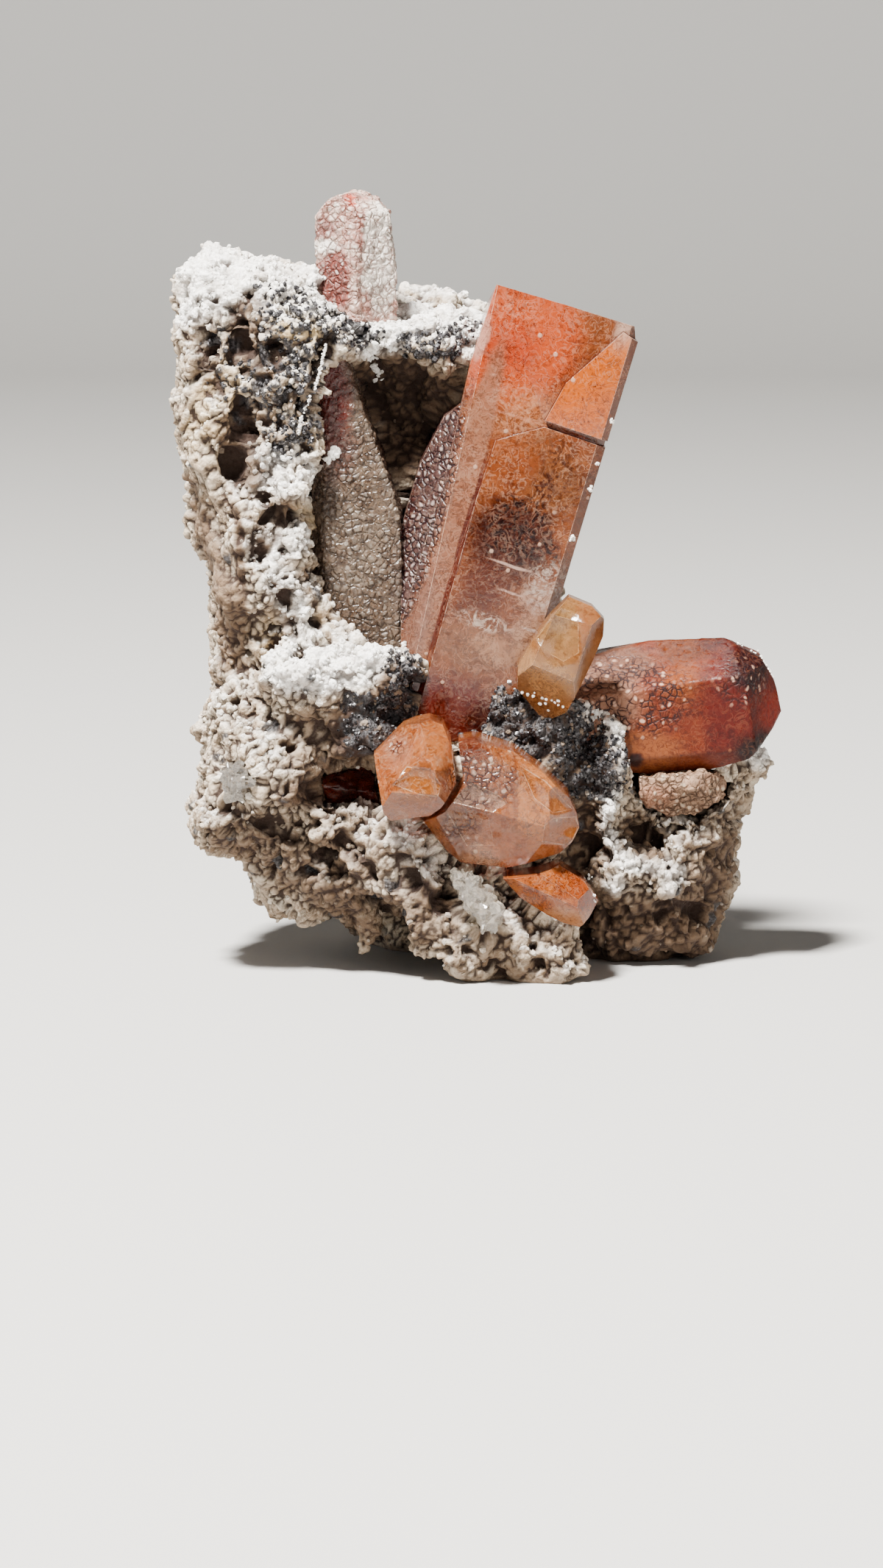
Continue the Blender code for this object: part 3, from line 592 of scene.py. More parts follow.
def smoky_material():
    """Grey-brown and corroded, red-purple towards its tip, with painted shade down its right side."""
    material, coords, tone = topaz(
        "smoky_topaz", (0.184, 0.128, 0.088), (0.117, 0.075, 0.049), 0.35, (0.75, 0.62, 0.52), 416.0
    )
    tone = painted(coords, tone, [
        ((446, 540), 46, 110, 3.0, 0.5, 1.0, (125, 16, 11)),
        ((455, 610), 44, 60, 3.0, 0.3, 0.6, (130, 32, 26)),
        # This row and the last: painted shade down the right side
        ((530, 620), 34, 110, 3.0, 0.3, 0.8, (67, 20, 8.2)),
        ((480, 760), 60, 80, 3.0, 0.4, 0.5, (223, 171, 128)),
        ((545, 780), 20, 100, 3.0, 0.3, 0.6, (147, 94, 72)),
    ])
    share = maths("SUBTRACT", 0.6, blob(coords, seen_at((446, 530)), (1.6, 4.0, 2.8), 0.5))
    share = maths("MAXIMUM", share, 0.3)
    outline, dot = (0.026, 0.014, 0.01), (0.30, 0.26, 0.22)
    return finished(material, coords, tone, 0.2, 0.2, 0.04, (share, outline, dot), (0.40, 0.35, 0.30))


def thick_material():
    """Scaly tan at the left, orange in the middle and dark red to purple at the tip."""
    material, coords, tone = topaz(
        "thick_topaz", (0.16, 0.034, 0.008), (0.12, 0.020, 0.005), 0.1, (0.95, 0.5, 0.24), 608.0
    )
    tone = painted(coords, tone, [
        ((800, 950), 90, 70, 4.0, 0.5, 0.9, (290, 165, 112)),
        ((840, 900), 70, 30, 4.0, 0.5, 0.85, (150, 75, 50)),
        ((870, 1025), 80, 40, 4.0, 0.4, 0.8, (230, 80, 26)),
        ((930, 925), 44, 40, 3.0, 0.3, 0.8, (200, 55, 7)),
        ((925, 885), 44, 24, 3.0, 0.5, 0.95, (110, 28, 4)),
        ((985, 875), 50, 26, 3.0, 0.4, 0.9, (50, 7, 3)),
        ((1015, 960), 86, 120, 4.0, 0.5, 0.97, (85, 5.5, 1.6)),
        ((1020, 905), 40, 44, 3.0, 0.4, 0.95, (20, 2.2, 3.4)),
        ((1050, 970), 30, 40, 3.0, 0.4, 0.8, (200, 16, 2.2)),
        ((1030, 1020), 44, 34, 3.0, 0.4, 0.95, (8, 1.4, 2.2)),
        ((868, 1035), 14, 15, 2.0, 0.4, 0.95, (24, 2.1, 1.6)),
    ])
    share = painted_share(coords, [((845, 950), 110, 66, 4.0, 0.7), ((1010, 930), 50, 44, 3.0, 0.3)])
    scaly = times(share, 0.95), (0.020, 0.006, 0.008), (0.50, 0.33, 0.25)
    return finished(material, coords, tone, 0.5, 0.25, 0.015, scaly, (0.28, 0.115, 0.06))


def under_material():
    """Rough brownish pink, half rock."""
    material, coords, tone = topaz("under_topaz", (0.38, 0.26, 0.18), (0.24, 0.15, 0.10), 0.1)
    tone = painted(coords, tone, [((890, 1085), 44, 34, 4.0, 0.3, 0.7, (300, 140, 85))])
    scaly = 0.75, (0.07, 0.04, 0.025), (0.52, 0.43, 0.33)
    return finished(material, coords, tone, 0.6, 0.2, 0.06, scaly, FROST_AND_HIGHLIGHT_PALE)


def top_material():
    """Whitish pink, with red patches and a rough white end."""
    material, coords, tone = topaz(
        "top_topaz", (0.74, 0.60, 0.52), (0.46, 0.24, 0.19), 0.25, (0.95, 0.75, 0.7), 128.0
    )
    tone = painted(coords, tone, [
        ((452, 380), 30, 50, 2.5, 0.6, 0.9, (220, 50, 38)),
        ((444, 310), 24, 22, 2.5, 0.4, 0.8, (180, 50, 42)),
        ((440, 334), 34, 10, 2.5, 0.4, 0.9, (900, 860, 800)),
        ((490, 310), 16, 40, 2.5, 0.4, 0.7, (340, 130, 100)),
        ((518, 350), 32, 90, 2.5, 0.7, 0.95, (920, 860, 780)),
        ((474, 270), 16, 14, 2.5, 0.4, 0.9, (500, 90, 50)),
    ], 0.0, 0.5)
    share = times(blob(coords, seen_at((480, 350)), (4.0, 5.0, 4.0), 0.9), 0.6)
    outline, dot = (0.13, 0.035, 0.026), (0.92, 0.87, 0.80)
    return finished(material, coords, tone, 0.3, 0.22, 0.05, (share, outline, dot), (0.92, 0.88, 0.82))


def honey_material():
    """Pale yellow, with a clear window, and orange at its lower point."""
    material, coords, tone = topaz(
        "honey_topaz", (0.349, 0.171, 0.067), (0.277, 0.117, 0.037), 0.55, (0.97, 0.7, 0.38), 528.0
    )
    tone = painted(coords, tone, [
        ((765, 850), 30, 40, 2.0, 0.3, 0.5, (363, 223, 88)),
        ((750, 925), 44, 34, 2.0, 0.5, 0.8, (460, 260, 120)),
        ((800, 840), 22, 40, 2.0, 0.4, 0.6, (363, 147, 62)),
        ((715, 900), 20, 30, 2.0, 0.4, 0.6, (460, 270, 140)),
    ], 0.0, 0.15)
    tone = blended(times(attribute(coords, "facet"), 0.6), tone, (0.36, 0.21, 0.095))
    return finished(material, coords, tone, 0.16, 0.3, 0.02, None, (0.547, 0.363, 0.197))


def peach_material():
    """Clear peach orange, with a dark orange window in one and a scaly upper left in the other."""
    material, coords, tone = topaz(
        "peach_topaz", (0.40, 0.15, 0.050), (0.32, 0.10, 0.028), 0.55, (0.97, 0.60, 0.30), 576.0
    )
    tone = painted(coords, tone, [
        ((540, 1020), 30, 34, 1.6, 0.4, 0.7, (400, 190, 120)),
        ((590, 1020), 24, 30, 1.6, 0.4, 0.5, (420, 160, 50)),
        ((565, 1080), 40, 20, 1.6, 0.4, 0.7, (420, 170, 55)),
        ((640, 1020), 40, 36, 2.5, 0.4, 0.85, (150, 35, 18)),
        ((660, 1060), 50, 40, 2.5, 0.4, 0.7, (300, 130, 75)),
        ((625, 1120), 40, 40, 2.5, 0.4, 0.7, (210, 95, 50)),
        ((735, 1095), 50, 70, 2.5, 0.6, 0.95, (500, 210, 75)),
        ((765, 1130), 20, 20, 2.5, 0.5, 0.8, (340, 110, 28)),
        ((700, 1075), 6, 60, 2.5, 0.4, 0.6, (200, 60, 25)),
        ((650, 1165), 44, 24, 2.5, 0.4, 0.8, (460, 240, 140)),
        ((625, 1145), 30, 26, 2.5, 0.4, 0.6, (200, 70, 35)),
    ], 0.0, 0.2)
    facet = attribute(coords, "facet")
    window, pale = maths("MAXIMUM", facet, 0.0), times(maths("MINIMUM", facet, 0.0), -1.0)
    tone = layered(tone, (window, (0.36, 0.13, 0.030)), (pale, (0.48, 0.30, 0.21)))
    etched = [
        ((655, 1060), 56, 52, 2.5, 0.6),
        ((625, 1125), 36, 36, 2.0, 0.4),
        ((535, 1015), 24, 24, 1.2, 0.3),
    ]
    share = painted_share(coords, etched)
    outline, dot = (0.08, 0.018, 0.012), (0.62, 0.45, 0.36)
    return finished(material, coords, tone, 0.11, 0.3, 0.02, (share, outline, dot), (0.68, 0.50, 0.36))


def orange_material():
    """Strong orange, pale where it is frosted below."""
    material, coords, tone = topaz(
        "orange_topaz", (0.42, 0.145, 0.035), (0.30, 0.075, 0.014), 0.42, (0.97, 0.55, 0.25), 672.0
    )
    tone = painted(coords, tone, [
        ((775, 1250), 50, 24, 2.0, 0.4, 0.8, (440, 210, 100)),
        ((800, 1210), 30, 30, 2.0, 0.4, 0.7, (291, 67, 16)),
    ], 0.0, 0.3)
    return finished(material, coords, tone, 0.12, 0.25, 0.02, None, (0.563, 0.393, 0.277))


def quartz_material(name, light, deep):
    """Glassy, almost colourless, with a wavy face."""
    material, coords, tone = topaz(name, light, deep, 0.8, ior=QUARTZ_IOR)
    return finished(material, coords, tone, 0.06, 0.4, 0.02, None, (0.62, 0.58, 0.52), 0.5)


def red_material():
    """The dark red crystal in the hollow under the shelf, which also stands for the hollow's reddish shade.
    """
    material, coords, tone = topaz(
        "red_topaz_and_shade", (0.123, 0.016, 0.0066), (0.047, 0.0044, 0.0026), 0.3, (0.8, 0.3, 0.2), 480.0
    )
    return finished(material, coords, tone, 0.25, 0.25, 0.04, None, (0.277, 0.117, 0.062))


def added(name, data):
    """A new object of the scene."""
    made = bpy.data.objects.new(name, data)
    bpy.context.scene.collection.objects.link(made)
    return made


def new_mesh_object(name, mesh, material):
    """A finished mesh as a piece of the object."""
    made = added(name, mesh)
    mesh.materials.clear()
    mesh.materials.append(material)
    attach(made, "root")
    return made


def mesh_from(name, points, faces):
    """A triangle mesh from arrays of points, in metres, and of corner numbers."""
    mesh = bpy.data.meshes.new(name)
    mesh.vertices.add(len(points))
    mesh.vertices.foreach_set("co", np.asarray(points, np.float32).ravel())
    mesh.loops.add(faces.size)
    mesh.loops.foreach_set("vertex_index", faces.astype(np.int32).ravel())
    mesh.polygons.add(len(faces))
    mesh.polygons.foreach_set("loop_start", np.arange(0, faces.size, 3, dtype=np.int32))
    mesh.update(calc_edges=True)
    mesh.shade_flat()
    return mesh


def segment_distance(points, start, end):
    """How far each point is from a straight segment."""
    along = end - start
    length = float(along @ along)
    share = np.zeros(len(points)) if length < 1e-9 else unit((points - start) @ along / length)
    return np.linalg.norm(points - start - share[:, None] * along, axis=1)


def line_distance(points, radius, marks, depth=2.2):
    """The distance to a line of marks, as a share of its radius. Depth counts for less than width."""
    scale = np.array([1.0 / (radius * PIXEL), 1.0 / max(depth, radius * PIXEL), 1.0 / (radius * PIXEL)])
    hits = [np.array(seen_at(mark)) * scale for mark in marks]
    spread = points * scale
    pairs = zip(hits, hits[1:]) if len(hits) > 1 else [(hits[0], hits[0])]
    return np.min([segment_distance(spread, start, end) for start, end in pairs], axis=0)


def smoothstep(value, low, high):
    share = unit((value - low) / (high - low))
    return share * share * (3.0 - 2.0 * share)


def zone(points, places):
    """How much each point lies in any of some places on the rock."""
    most = np.zeros(len(points))
    for strength, radius, marks in places:
        most = np.maximum(most, strength * smoothstep(line_distance(points, radius, marks), 1.25, 0.45))
    return most


def cells(points, size):
    """Scattered cells: each point's distance to its cell's centre and to the cell's border, as shares of the
    spacing, and three chance numbers of the cell."""
    near = np.empty((len(points), 2))
    centres = np.empty((len(points), 3))
    for index, point in enumerate(points / size):
        away, found = noise.voronoi(point)
        near[index] = away[:2]
        centres[index] = found[0]
    mixed = centres @ np.array([[12.99, 78.23, 37.72], [39.35, 11.14, 83.16], [73.16, 52.24, 9.15]])
    chance = np.modf(np.abs(np.sin(mixed) * 43758.55))[0]
    return near[:, 0], near[:, 1] - near[:, 0], chance


def swell(points, size):
    return np.array([noise.noise(point) for point in points / size])


def stir(points, size, offsets):
    """Noise along each of the three axes, from noise at three offsets."""
    return np.stack([swell(points + offset, size) for offset in offsets], axis=1)


def unit(values):
    return np.clip(values, 0.0, 1.0)


def relaxed(points, edges, rounds):
    """The points after some rounds in which each moves to the middle of its neighbours."""
    count = len(points)
    degree = np.bincount(edges.ravel(), minlength=count)[:, None]
    for _ in range(rounds):
        total = np.empty_like(points)
        for axis in range(3):
            first = np.bincount(edges[:, 0], points[edges[:, 1], axis], count)
            total[:, axis] = first + np.bincount(edges[:, 1], points[edges[:, 0], axis], count)
        points = 0.5 * points + 0.5 * total / degree
    return points


def values_of(items, key, width, kind=np.float32):
    """A row of values for each item of a mesh."""
    values = np.empty(len(items) * width, kind)
    items.foreach_get(key, values)
    return values.reshape(-1, width)


def mesh_arrays(mesh):
    """A mesh's points in millimetres, its normals and its edges."""
    points = values_of(mesh.vertices, "co", 3).astype(float) / MM
    normals = values_of(mesh.vertices, "normal", 3).astype(float)
    return points, normals, values_of(mesh.edges, "vertices", 2, np.int32)


def move_points(mesh, points):
    mesh.vertices.foreach_set("co", (points * MM).astype(np.float32).ravel())
    mesh.update()


def store(mesh, name, values):
    layer = mesh.attributes.new(name, "FLOAT", "POINT")
    layer.data.foreach_set("value", np.asarray(values, np.float32))


def fine_copy(solid, voxel, smoothing):
    """A solid's mesh on a fine even grid, with its flat facets smoothed away."""
    holder = added("work", solid.data.copy())
    grid = holder.modifiers.new("grid", "REMESH")
    grid.mode = "VOXEL"
    grid.voxel_size = voxel * MM
    soften = holder.modifiers.new("soften", "SMOOTH")
    soften.factor = 0.5
    soften.iterations = smoothing
    graph = bpy.context.evaluated_depsgraph_get()
    mesh = bpy.data.meshes.new_from_object(holder.evaluated_get(graph))
    bpy.data.objects.remove(holder)
    return mesh


def in_box(points):
    """Points kept inside the box of the solids."""
    low = np.array(SOLID_BOX[0]) / MM + (BOX_MARGIN, BOX_MARGIN, 0.0)
    high = np.array(SOLID_BOX[1]) / MM - BOX_MARGIN
    return np.clip(points, low, high)


def surface_tree(solids):
    """A search tree of the faces of some solids, in millimetres."""
    corners, faces = [], []
    for solid in solids:
        start = len(corners)
        corners += [millimetres(vert.co) for vert in solid.data.vertices]
        faces += [[start + index for index in face.vertices] for face in solid.data.polygons]
    return BVHTree.FromPolygons(corners, faces)


def seat_on_crystals(points, crystals):
    """Draws the rock's rim up to each crystal, so that no gap shows."""
    seated = points.copy()
    for solid in crystals:
        low, high = (np.array(corner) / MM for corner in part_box(solid.name))
        inside = np.all((points > low - SEAT_REACH) & (points < high + SEAT_REACH), axis=1)
        tree = surface_tree([solid])
        for index in np.nonzero(inside)[0]:
            spot = Vector(seated[index])
            near, normal, _, away = tree.find_nearest(spot, SEAT_REACH * 1.5)
            if near is None:
                continue
            outside = (spot - near).dot(normal) > 0.0
            if outside and away > SEAT_REACH:
                continue
            pull = 1.0 if not outside else 1.0 - float(smoothstep(away, SEAT_FULL, SEAT_REACH))
            seated[index] = spot.lerp(near - normal * SEAT_DEPTH, pull)
    return seated


def make_rock(solid, crystals, material):
    """The rock's mesh, with its clods, grains, pits and hollows, and the shares that colour it."""
    mesh = fine_copy(solid, FINE_VOXEL, SMOOTHING)
    points, normals, edges = mesh_arrays(mesh)
    spongy = unit(zone(points, SPONGY))
    even = 1.0 - unit(zone(points, SMOOTH))
    wander = swell(points, 2.2)
    loose = points + 0.16 * stir(points, 0.6, (0.0, 31.0, 57.0))
    grain, grain_gap, luck = cells(loose, GRAIN_SIZE)
    clod, _, clod_luck = cells(loose + 0.5 * stir(points, 1.5, (3.0, 17.0, 43.0)), CLOD_SIZE)
    crumbled = loose + 0.13 * stir(points, 0.3, (7.0, 23.0, 71.0))
    pit, _, pit_luck = cells(crumbled + 40.0, PIT_SIZE)
    rise = WANDER_HEIGHT * (wander + 0.8 * swell(points + 11.0, 1.1))
    rise += CLOD_HEIGHT * (0.6 - 1.6 * clod**2 + 0.9 * (clod_luck[:, 0] - 0.5)) * (0.35 + 0.65 * even)
    domed = smoothstep(grain_gap, 0.0, 0.45) * (1.0 - 0.8 * grain**2) * (0.35 + 0.65 * luck[:, 0])
    rise += GRAIN_HEIGHT * (domed - 0.5) * (0.3 + 0.7 * even) * (1.0 + 0.35 * spongy)
    odds = np.clip(0.12 + 0.6 * spongy + 0.35 * wander, 0.0, 0.8) * even
    holes = smoothstep(pit, 0.5, 0.2) * (pit_luck[:, 0] < odds)
    rise -= PIT_DEPTH * holes
    cave = np.zeros(len(points))
    for radius, depth, marks in CAVITIES:
        share = smoothstep(line_distance(crumbled, radius, marks, 1.2), 1.3, 0.4)
        rise -= 0.7 * depth * share
        cave = np.maximum(cave, share)
    rise *= smoothstep(points[:, 2], 0.0, 0.5)
    points = in_box(points + normals * rise[:, None])
    points = in_box(seat_on_crystals(points, crystals))
    move_points(mesh, points)
    points, normals, edges = mesh_arrays(mesh)
    calm = relaxed(points, edges, 5)
    fine_dip = np.sum((calm - points) * normals, axis=1)
    calm = relaxed(calm, edges, 30)
    broad_dip = np.sum((calm - points) * normals, axis=1)

    up = smoothstep(normals[:, 2], 0.2, 0.8)
    # White crust and painted highlight: faces that look up are made whiter as if lit from above
    white = unit(zone(points, WHITE_CRUST_AND_HIGHLIGHT) + 0.8 * up * (0.55 + 0.7 * wander))
    # Painted shade in the shaded places and on faces that look down
    shade = zone(points, PAINTED_SHADE_PLACES) * 0.9 + 0.5 * smoothstep(normals[:, 2], 0.0, -0.7)
    # Painted shade: brown in creases, pits and hollows, and where the painted shade places run deepest
    crease = smoothstep(fine_dip, -0.005 - 0.012 * spongy, 0.018 - 0.008 * spongy)
    crease += 0.8 * smoothstep(broad_dip, 0.0, 0.12)
    crease *= (1.0 - 0.6 * white) * (0.6 + 0.4 * even)
    crease += 0.9 * cave * (1.0 - 0.55 * domed) + 0.75 * holes + unit(shade - 1.0)
    speckled = np.clip(zone(points, SPECKLED), 0.0, 1.8)
    odds = 0.55 * speckled * (1.0 - 0.4 * up) + 0.012
    store(mesh, "luck", luck[:, 2] ** 2 * 0.8)
    store(mesh, "crust_and_highlight", white * (0.6 + 0.4 * luck[:, 2]))
    store(mesh, "shade", np.clip(shade * (0.75 + 0.35 * luck[:, 0]), 0.0, 0.96))
    store(mesh, "crease", np.clip(crease, 0.0, 0.97))
    store(mesh, "dark", (luck[:, 1] < odds) * smoothstep(grain_gap, 0.0, 0.12) * 0.95)
    store(mesh, "speckled", speckled)
    store(mesh, "stain", np.clip(zone(points, STAINED) * (0.55 + 0.6 * wander), 0.0, 0.85))
    add_rock_pieces(mesh, points, normals, material)
    return mesh


def add_rock_pieces(mesh, points, normals, material):
    """The rock's mesh in four pieces of moderate size, with the whole mesh's normals at their seams."""
    mesh.shade_smooth()
    middles = values_of(mesh.polygons, "center", 3) / MM
    for front in (True, False):
        for left in (True, False):
            keep = ((middles[:, 1] < ROCK_SPLIT[1]) == front) & ((middles[:, 0] < ROCK_SPLIT[0]) == left)
            part = mesh.copy()
            bm = bmesh.new()
            bm.from_mesh(part)
            bm.faces.ensure_lookup_table()
            drop = [bm.faces[index] for index in np.nonzero(~keep)[0]]
            numbers = bm.verts.layers.int.new("number")
            for vert in bm.verts:
                vert[numbers] = vert.index
            bmesh.ops.delete(bm, geom=drop, context="FACES")
            kept = [vert[numbers] for vert in bm.verts]
            bm.to_mesh(part)
            bm.free()
            part.attributes.remove(part.attributes["number"])
            part.normals_split_custom_set_from_vertices([Vector(normals[index]) for index in kept])
            name = f"rock_{'front' if front else 'back'}_{'left' if left else 'right'}"
            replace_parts(new_mesh_object(name, part, material), "matrix")


def grain_shapes(rng, count):
    """Points and faces of many small uneven grains around the origin, of radius 1."""
    bm = bmesh.new()
    bmesh.ops.create_icosphere(bm, subdivisions=1, radius=1.0)
    ball = np.array([vert.co for vert in bm.verts])
    faces = np.array([[vert.index for vert in face.verts] for face in bm.faces])
    bm.free()
    uneven = rng.uniform(0.75, 1.2, (count, len(ball), 1))
    shapes = ball[None] * uneven * rng.uniform(0.7, 1.3, (count, 1, 3))
    angles, axes = rng.uniform(0.0, math.tau, count), rng.normal(size=(count, 3))
    turns = np.array([Matrix.Rotation(angle, 3, Vector(axis)) for angle, axis in zip(angles, axes)])
    shapes = np.einsum("nij,nkj->nki", turns, shapes)
    return shapes, (faces[None] + (np.arange(count) * len(ball))[:, None, None]).reshape(-1, 3)


def add_grains(name, rng, centres, radius, values, material):
    """A piece of small grains at some centres. values are the shares that colour each grain."""
    shapes, faces = grain_shapes(rng, len(centres))
    placed = in_box(centres[:, None, :] + shapes * radius[:, None, None])
    mesh = mesh_from(name, placed.reshape(-1, 3) * MM, faces)
    for key, value in values.items():
        store(mesh, key, np.repeat(value, shapes.shape[1]))
    new_mesh_object(name, mesh, material)


def scatter_grains(rock, light, dark):
    """Pale grains that stand on the rock's ledges, and black ones in its speckled places."""
    rng = np.random.default_rng(SEED)
    points, normals, _ = mesh_arrays(rock)
    names = ("crust_and_highlight", "shade", "crease", "speckled", "stain")
    share = {name: values_of(rock.attributes[name].data, "value", 1)[:, 0] for name in names}
    front = 0.15 + smoothstep(points[:, 1], 2.0, -2.0)
    firm = (points[:, 2] > 0.4) * (1.0 - 0.85 * unit(zone(points, SMOOTH)))
    firm *= 1.0 - 0.8 * unit(share["shade"])
    ledges = (0.1 + share["crust_and_highlight"] + 0.2 * share["speckled"]) * front * firm
    speckles = share["speckled"] ** 2 * firm * front
    for name, count, weight, material in (
        ("pale_grains", LIGHT_GRAINS, ledges, light),
        ("black_grains", DARK_GRAINS, speckles, dark),
    ):
        chosen = rng.choice(len(points), count, replace=False, p=weight / weight.sum())
        radius = GRAIN_RADIUS[0] + (GRAIN_RADIUS[1] - GRAIN_RADIUS[0]) * rng.random(count) ** 2
        centres = points[chosen] - normals[chosen] * (0.15 * radius)[:, None]
        values = {
            "luck": rng.random(count) * 0.9,
            "crust_and_highlight": unit(share["crust_and_highlight"][chosen] * 1.2 + rng.uniform(-0.2, 0.3, count)),
            "shade": share["shade"][chosen] * 0.8,
            "crease": share["crease"][chosen] * 0.35,
            "stain": share["stain"][chosen],
        }
        add_grains(name, rng, centres, radius, values, material)


def add_crust(material):
    """White grains along edges of crystals and at their feet."""
    rng = np.random.default_rng(SEED + 1)
    centres, radius = [], []
    for count, sizes, spread, marks in CRUST:
        for _ in range(count):
            step = rng.random() * (len(marks) - 1)
            index = min(int(step), len(marks) - 2)
            start, end = np.array(marks[index]), np.array(marks[index + 1])
            mark = start + (step - index) * (end - start)
            centres.append(seen_at(mark + rng.normal(0.0, spread * 0.6, 2)))
            radius.append(rng.uniform(*sizes))
    count = len(centres)
    values = {"luck": rng.random(count), "crust_and_highlight": 0.75 + 0.25 * rng.random(count)}
    values.update({key: np.zeros(count) for key in ("shade", "crease", "stain")})
    add_grains("crust_grains", rng, np.array(centres), np.array(radius), values, material)


def cut_window(bm, marks, level, facet, edge_lighting):
    """Cuts an outline of marks into the faces under it, sets it in a little, and gives it a level."""
    corners = [metres(seen_at(mark)) for mark in marks]
    middle = sum(corners, Vector()) / len(corners)
    reach = max((corner - middle).length for corner in corners)
    borders = []
    for start, end in zip(corners, corners[1:] + corners[:1]):
        outward = (end - start).cross(FORWARD).normalized()
        if (middle - start).dot(outward) > 0.0:
            outward.negate()
        borders.append((start, outward))
    for start, outward in borders:
        near = [face for face in bm.faces if faces_viewer(face) and face_distance(face, middle) < reach]
        geometry = set(near)
        for face in near:
            geometry.update(face.edges, face.verts)
        bmesh.ops.bisect_plane(bm, geom=list(geometry), plane_co=start, plane_no=outward)
    inside = []
    for face in bm.faces:
        spot = face.calc_center_median()
        if faces_viewer(face) and all((spot - start).dot(outward) < 0.0 for start, outward in borders):
            face[facet] = level
            inside.append(face)
    rim = bmesh.ops.inset_region(bm, faces=inside, thickness=WINDOW_RIM * MM, depth=-WINDOW_RIM * MM)
    for face in rim["faces"]:
        face[facet] = 0.0
        # The window's rim gets part of the painted edge highlight
        face[edge_lighting] = 0.6


def faces_viewer(face):
    return face.normal.dot(FORWARD) < -0.3


def crystal_mesh(solid, edge, bright, windows):
    """A crystal's mesh with its edges worn round. Faces carry two shares: edge is 1 on the rounded outer
    edges, which get a painted highlight, and -1 in the rounded creases, which get painted shade, and facet
    is 1 on the faces seen at the given marks, or a window's level."""
    bm = bmesh.new()
    bm.from_mesh(solid.data)
    bmesh.ops.remove_doubles(bm, verts=bm.verts, dist=MERGE * MM)
    bmesh.ops.dissolve_limit(bm, angle_limit=FLAT_ANGLE, verts=bm.verts, edges=bm.edges)
    # edge: 1 where a painted highlight goes, -1 where painted shade goes
    edge_lighting = bm.faces.layers.float.new("edge")
    facet = bm.faces.layers.float.new("facet")
    for mark in bright:
        spot = metres(seen_at(mark))
        nearest = min(bm.faces, key=lambda face: face_distance(face, spot))
        nearest[facet] = 1.0
    for level, marks in windows:
        cut_window(bm, marks, level, facet, edge_lighting)
    for sign in (-1.0, 1.0):
        chosen = [
            item
            for item in bm.edges
            if item.is_manifold and item.calc_face_angle() > WORN_ANGLE
            and (item.calc_face_angle_signed() > 0.0) == (sign > 0.0)
            and all(abs(face[edge_lighting]) < 0.5 for face in item.link_faces)
        ]
        made = bmesh.ops.bevel(
            bm, geom=chosen, offset=edge * MM, segments=2, profile=0.6, affect="EDGES", clamp_overlap=True
        )
        for face in made["faces"]:
            face[edge_lighting] = sign
            face[facet] = 0.0
    mesh = bpy.data.meshes.new(solid.name + "_look")
    bm.to_mesh(mesh)
    bm.free()
    return mesh


def face_distance(face, spot):
    """How far a point is off a face: its height over the plane, and how far it lies beside the face."""
    height = abs((spot - face.calc_center_median()).dot(face.normal))
    beside = 0.0
    for loop in face.loops:
        start, end = loop.vert.co, loop.link_loop_next.vert.co
        outward = (end - start).cross(face.normal)
        if outward.length > 0.0:
            beside = max(beside, (spot - start).dot(outward.normalized()))
    return height + beside


def crystal_piece(name, material, edge, bright=(), windows=()):
    """A crisp crystal in place of its plain solid."""
    mesh = crystal_mesh(solids[name], edge, bright, windows)
    mesh.shade_smooth()
    mesh.set_sharp_from_angle(angle=SHARP_ANGLE)
    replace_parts(new_mesh_object(mesh.name, mesh, material), name)


def etched_piece(name, material, voxel, height, size, reach=(0.0, 0.0, 0.0), smooth=True):
    """A corroded crystal, with a lumpy skin, in place of its plain solid. The faces that look along reach
    move that far, to close a gap."""
    mesh = fine_copy(solids[name], voxel, 3 if smooth else 1)
    points, normals, edges = mesh_arrays(mesh)
    _, gap, luck = cells(points, size)
    wander = swell(points, size * 4.0)
    rise = height * (smoothstep(gap, 0.0, 0.5) * (0.3 + 0.7 * luck[:, 0]) - 0.6 + 0.8 * wander)
    keel = np.sum((points - relaxed(points, edges, 12)) * normals, axis=1)
    length = max(float(np.linalg.norm(reach)), 1e-6)
    facing = smoothstep(normals @ np.array(reach) / length, 0.1, 0.7)
    points = in_box(points + normals * rise[:, None] + facing[:, None] * np.array(reach))
    move_points(mesh, points)
    # edge: painted highlight on the ridges, painted shade in the grooves
    store(mesh, "edge", smoothstep(keel, 0.03, 0.09) - smoothstep(keel, -0.03, -0.09))
    if smooth:
        mesh.shade_smooth()
    else:
        mesh.shade_flat()
    mesh.name = name + "_look"
    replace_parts(new_mesh_object(mesh.name, mesh, material), name)


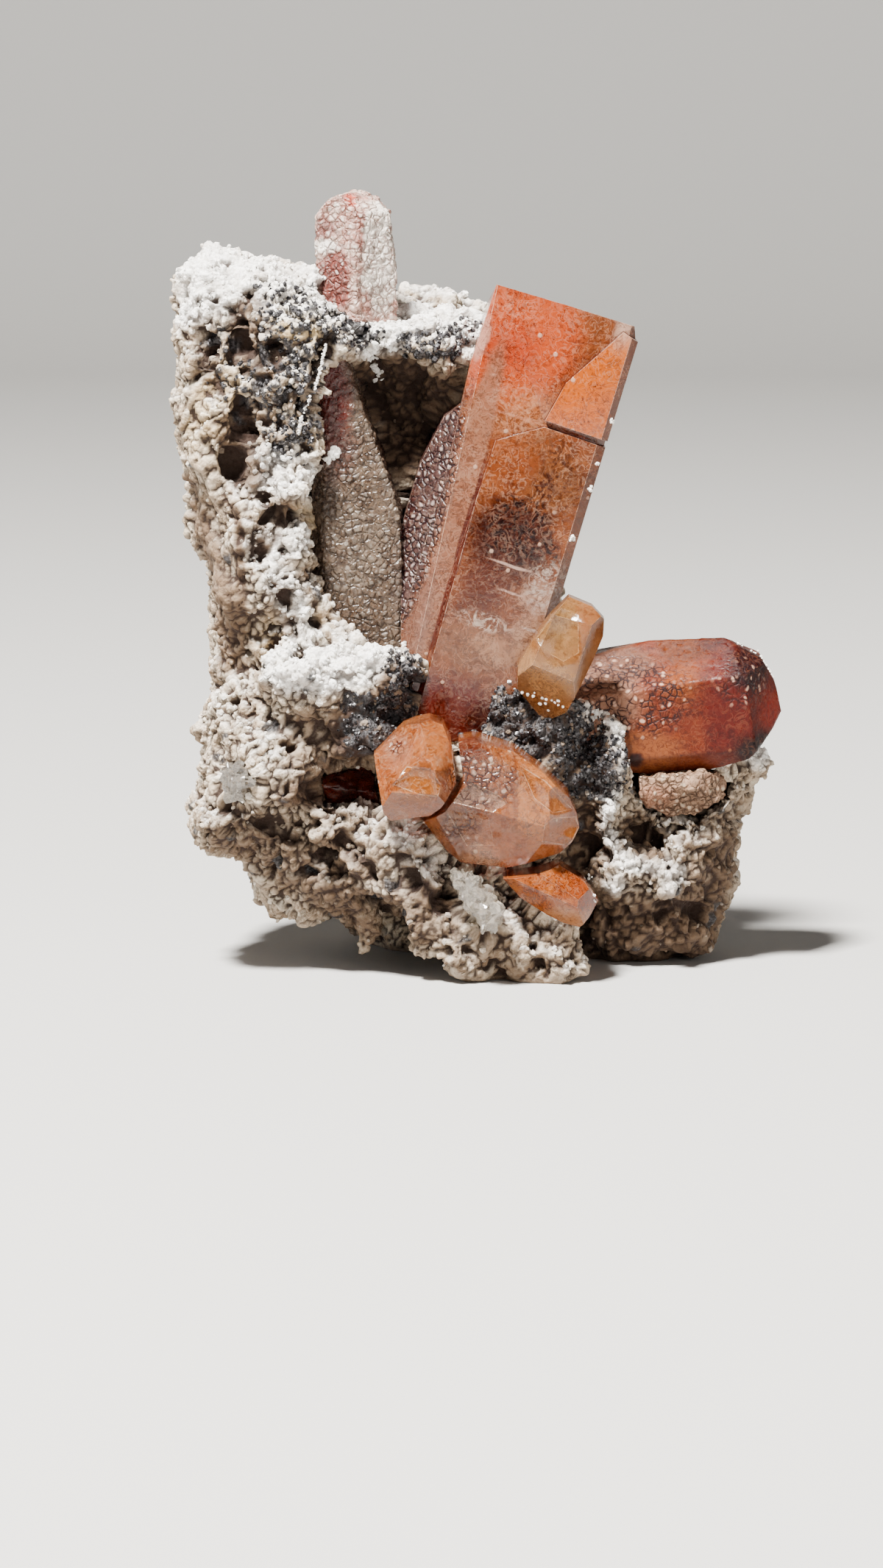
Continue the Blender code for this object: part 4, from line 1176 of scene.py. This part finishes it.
def studio():
    """A pale floor that turns up into a backdrop, and soft lamps."""
    bm = bmesh.new()
    width, front = FLOOR
    outline = [(front, 0.0)]
    for step in range(BEND_STEPS + 1):
        turn = math.radians(90.0 * step / BEND_STEPS)
        outline.append((BEND_START + BEND_RADIUS * math.sin(turn), BEND_RADIUS * (1.0 - math.cos(turn))))
    outline.append((BEND_START + BEND_RADIUS, BACK_HEIGHT))
    rows = [[bm.verts.new((side, y, z)) for y, z in outline] for side in (-width, width)]
    for index in range(len(outline) - 1):
        bm.faces.new([rows[0][index], rows[1][index], rows[1][index + 1], rows[0][index + 1]])
    mesh = bpy.data.meshes.new("backdrop")
    bm.to_mesh(mesh)
    bm.free()
    mesh.shade_smooth()
    paper = bpy.data.materials.new("paper")
    paper.use_nodes = True
    feed(paper.node_tree.nodes["Principled BSDF"], {"Base Color": colour(PAPER), "Roughness": 0.9})
    mesh.materials.append(paper)
    added("backdrop", mesh)
    for name, spot, size, power, tint in LAMPS:
        light = bpy.data.lights.new(name, "AREA")
        light.size = size
        light.energy = power
        light.color = tint
        place(added(name, light), Vector(spot), Vector(AIM) - Vector(spot))
    world = bpy.data.worlds.new("studio")
    bpy.context.scene.world = world
    world.use_nodes = True
    feed(world.node_tree.nodes["Background"], {"Color": colour(SKY), "Strength": SKY_STRENGTH})


def place(made, spot, direction):
    """Puts a lamp or a camera at a spot, in metres, and turns it to look in a direction."""
    made.location = spot
    made.rotation_mode = "QUATERNION"
    made.rotation_quaternion = direction.to_track_quat("-Z", "Y")


def camera():
    """The camera at the photograph's angle and distance."""
    made = added("camera", bpy.data.cameras.new("camera"))
    place(made, metres(EYE), FORWARD)
    made.data.sensor_width = FILM_MM
    made.data.lens = LENS_MM
    made.data.clip_start = 0.01
    made.data.clip_end = 5.0
    bpy.context.scene.camera = made


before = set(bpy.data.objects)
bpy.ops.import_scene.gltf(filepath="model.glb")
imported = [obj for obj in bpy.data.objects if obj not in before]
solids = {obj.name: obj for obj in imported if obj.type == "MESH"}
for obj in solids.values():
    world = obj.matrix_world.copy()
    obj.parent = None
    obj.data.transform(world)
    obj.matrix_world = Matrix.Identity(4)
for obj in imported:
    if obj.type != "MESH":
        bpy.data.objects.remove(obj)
SOLID_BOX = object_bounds()
SOLID_TREE = surface_tree(solids.values())

camera()
studio()
rock_look = rock_material()
seats = [solid for name, solid in solids.items() if name not in ("matrix", "under_crystal")]
rock = make_rock(solids["matrix"], seats, rock_look)
scatter_grains(rock, rock_look, dark_grain_material())
add_crust(rock_look)

peach = peach_material()
crystal_piece("tall_crystals", tall_material(), 0.06, [(800, 500)])
crystal_piece("honey_crystal", honey_material(), 0.04, windows=HONEY_WINDOWS)
crystal_piece("front_left_crystal", peach, 0.04, windows=FRONT_LEFT_WINDOWS)
crystal_piece("front_middle_crystal", peach, 0.05, windows=FRONT_MIDDLE_WINDOWS)
crystal_piece("front_lower_crystal", orange_material(), 0.06)
clear = quartz_material("clear_quartz", (0.86, 0.82, 0.74), (0.60, 0.55, 0.47))
grey = quartz_material("grey_quartz", (0.60, 0.56, 0.50), (0.34, 0.31, 0.28))
etched_piece("clear_crystal", clear, 0.21, 0.36, 0.55, smooth=False)
etched_piece("under_crystal", under_material(), 0.08, 0.16, 0.4, (0.0, 0.0, 0.4))
etched_piece("glassy_grain", grey, 0.16, 0.3, 0.4, smooth=False)
etched_piece("smoky_crystal", smoky_material(), 0.08, 0.1, 0.35, (0.22, 0.0, 0.0))
etched_piece("top_crystal", top_material(), 0.07, 0.1, 0.45)
etched_piece("right_crystal", thick_material(), 0.08, 0.014, 0.6)
etched_piece("hollow_crystal", red_material(), 0.1, 0.12, 0.4)
